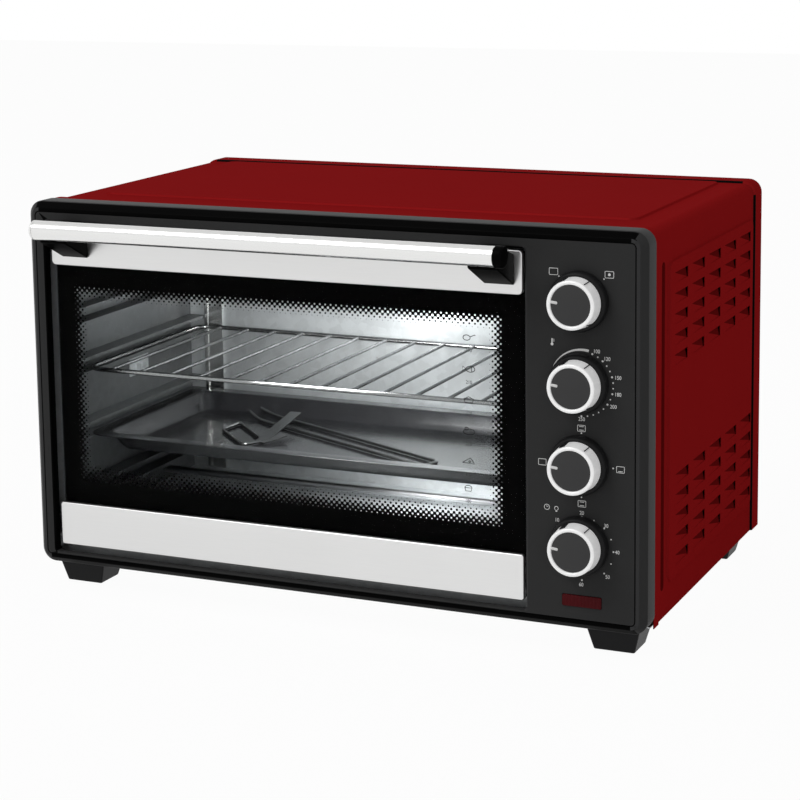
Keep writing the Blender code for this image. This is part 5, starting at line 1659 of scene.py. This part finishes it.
class OVEN_OT_studio(bpy.types.Operator):
    """Set the pale floor, the soft lamps, the even light and the camera"""

    bl_idname = "oven.studio"
    bl_label = "Studio"

    def execute(self, context):
        sizes = context.scene.oven_studio
        self.floor(sizes)
        self.sky(sizes)
        self.lamp("Key", *KEY_LAMP, sizes.key_power)
        self.lamp("Side", *SIDE_LAMP, sizes.key_power * SIDE_SHARE)
        place, target, size = OVEN_LAMP
        self.lamp("Oven lamp", at(*place), at(*target), size, sizes.oven_lamp)
        under = span("baking_tray")[4] - 0.012
        target = at(0.03, 0.3, under - 0.01)
        self.lamp("Lower oven lamp", at(0.0, 0.13, under), target, 0.02, sizes.oven_lamp * LOWER_SHARE)
        self.camera(sizes)
        context.scene.view_settings.view_transform = "Standard"
        return {"FINISHED"}

    def floor(self, sizes):
        """A wide floor whose seen and mirrored light is white, with the oven's soft shadow on it."""
        bm = bmesh.new()
        bmesh.ops.create_grid(bm, x_segments=1, y_segments=1, size=6)
        mesh = bpy.data.meshes.new("floor")
        bm.to_mesh(mesh)
        bm.free()
        floor = bpy.data.objects.new("floor", mesh)
        bpy.context.scene.collection.objects.link(floor)
        material = bpy.data.materials.new("Studio floor")
        material.use_nodes = True
        tree = material.node_tree
        tree.nodes.clear()
        paint = put_node(tree, "ShaderNodeBsdfDiffuse", {"Color": (*sizes.floor, 1)})
        glow = put_node(tree, "ShaderNodeEmission", {"Color": (1, 1, 1, 1), "Strength": 1.0})
        share = math_node(tree, "MULTIPLY", seen_directly(tree), 0.96)
        mixed = put_node(tree, "ShaderNodeMixShader", {0: share, 1: paint.outputs[0], 2: glow.outputs[0]})
        end = put_node(tree, "ShaderNodeOutputMaterial")
        tree.links.new(mixed.outputs[0], end.inputs["Surface"])
        mesh.materials.append(material)

    def sky(self, sizes):
        """Even light on the oven; plain white where it is seen, and mirrored white that fades overhead."""
        world = bpy.data.worlds.new("Studio")
        bpy.context.scene.world = world
        world.use_nodes = True
        tree = world.node_tree
        light = tree.nodes["Background"]
        light.inputs["Color"].default_value = (1, 1, 1, 1)
        path = put_node(tree, "ShaderNodeLightPath").outputs
        seen = math_node(tree, "MAXIMUM", path["Is Camera Ray"], path["Is Transmission Ray"])
        height = put_node(
            tree, "ShaderNodeSeparateXYZ", {0: put_node(tree, "ShaderNodeTexCoord").outputs["Generated"]}
        ).outputs["Z"]
        overhead = put_node(
            tree,
            "ShaderNodeMapRange",
            {"Value": height, "From Min": 0.12, "From Max": 0.6, "To Min": 1.0, "To Max": 0.8},
            interpolation_type="SMOOTHSTEP",
        ).outputs[0]
        mirrored = math_node(tree, "MULTIPLY", path["Is Glossy Ray"], overhead)
        even = math_node(tree, "MULTIPLY", math_node(tree, "SUBTRACT", 1.0, path["Is Glossy Ray"]), sizes.sky)
        strength = math_node(tree, "MAXIMUM", seen, math_node(tree, "ADD", mirrored, even))
        tree.links.new(strength, light.inputs["Strength"])

    def lamp(self, name, place, target, size, power):
        """A square soft lamp aimed at a point."""
        data = bpy.data.lights.new(name, "AREA")
        data.size = size
        data.energy = power
        lamp = bpy.data.objects.new(name, data)
        lamp.location = place
        lamp.rotation_euler = (Vector(target) - Vector(place)).to_track_quat("-Z", "Y").to_euler()
        lamp.visible_camera = lamp.visible_transmission = False
        bpy.context.scene.collection.objects.link(lamp)

    def camera(self, sizes):
        """The camera at the photograph's place, height and slight roll."""
        data = bpy.data.cameras.new("camera")
        data.sensor_width = 36
        data.lens = sizes.lens
        data.shift_y = CAMERA_SHIFT
        data.clip_start = 0.05
        camera = bpy.data.objects.new("camera", data)
        turn = Matrix.Rotation(math.radians(CAMERA_TURN), 3, "Z")
        turn = turn @ Matrix.Rotation(math.radians(90 - CAMERA_TILT), 3, "X")
        turn = turn @ Matrix.Rotation(math.radians(CAMERA_ROLL), 3, "Z")
        camera.matrix_world = Matrix.Translation(CAMERA_PLACE) @ turn.to_4x4()
        bpy.context.scene.collection.objects.link(camera)
        bpy.context.scene.camera = camera


def seen_directly(tree):
    """One where a ray comes from the camera or by a mirrored or see-through surface."""
    path = put_node(tree, "ShaderNodeLightPath").outputs
    both = math_node(tree, "MAXIMUM", path["Is Camera Ray"], path["Is Glossy Ray"])
    return math_node(tree, "MAXIMUM", both, path["Is Transmission Ray"])


class OVEN_PT_panel(bpy.types.Panel):
    """Lists the oven's operators with their settings"""

    bl_idname = "OVEN_PT_panel"
    bl_label = "Countertop Oven"
    bl_space_type = "VIEW_3D"
    bl_region_type = "UI"
    bl_category = "Oven"

    def draw(self, context):
        for title, group, operators in GROUPS:
            box = self.layout.box()
            box.label(text=title)
            settings = getattr(context.scene, group)
            for name in settings.__annotations__:
                box.prop(settings, name)
            for operator in operators:
                box.operator(operator.bl_idname)


GROUPS = (
    ("Studio", "oven_studio", (OVEN_OT_studio,)),
    ("Body", "oven_body", (OVEN_OT_front_frame, OVEN_OT_cover, OVEN_OT_shell)),
    ("Door", "oven_door", (OVEN_OT_door, OVEN_OT_handle)),
    ("Controls", "oven_controls", (OVEN_OT_knobs, OVEN_OT_dials)),
    ("Inside", "oven_inside", (OVEN_OT_cavity, OVEN_OT_rack, OVEN_OT_tray)),
)
SETTINGS = {
    "oven_studio": OvenStudioSettings,
    "oven_body": OvenBodySettings,
    "oven_door": OvenDoorSettings,
    "oven_controls": OvenControlSettings,
    "oven_inside": OvenInsideSettings,
}
OPERATORS = [operator for _, _, operators in GROUPS for operator in operators]


def register():
    """Registers the settings, the operators and the panel."""
    for kind in [*SETTINGS.values(), *OPERATORS, OVEN_PT_panel]:
        bpy.utils.register_class(kind)
    for name, kind in SETTINGS.items():
        setattr(bpy.types.Scene, name, bpy.props.PointerProperty(type=kind))


def unregister():
    """Takes them away again."""
    for name in SETTINGS:
        delattr(bpy.types.Scene, name)
    for kind in [OVEN_PT_panel, *reversed(OPERATORS), *SETTINGS.values()]:
        bpy.utils.unregister_class(kind)


def main():
    """Makes the whole oven."""
    register()
    for operator in OPERATORS:
        group, name = operator.bl_idname.split(".")
        getattr(getattr(bpy.ops, group), name)()


if __name__ == "__main__":
    main()
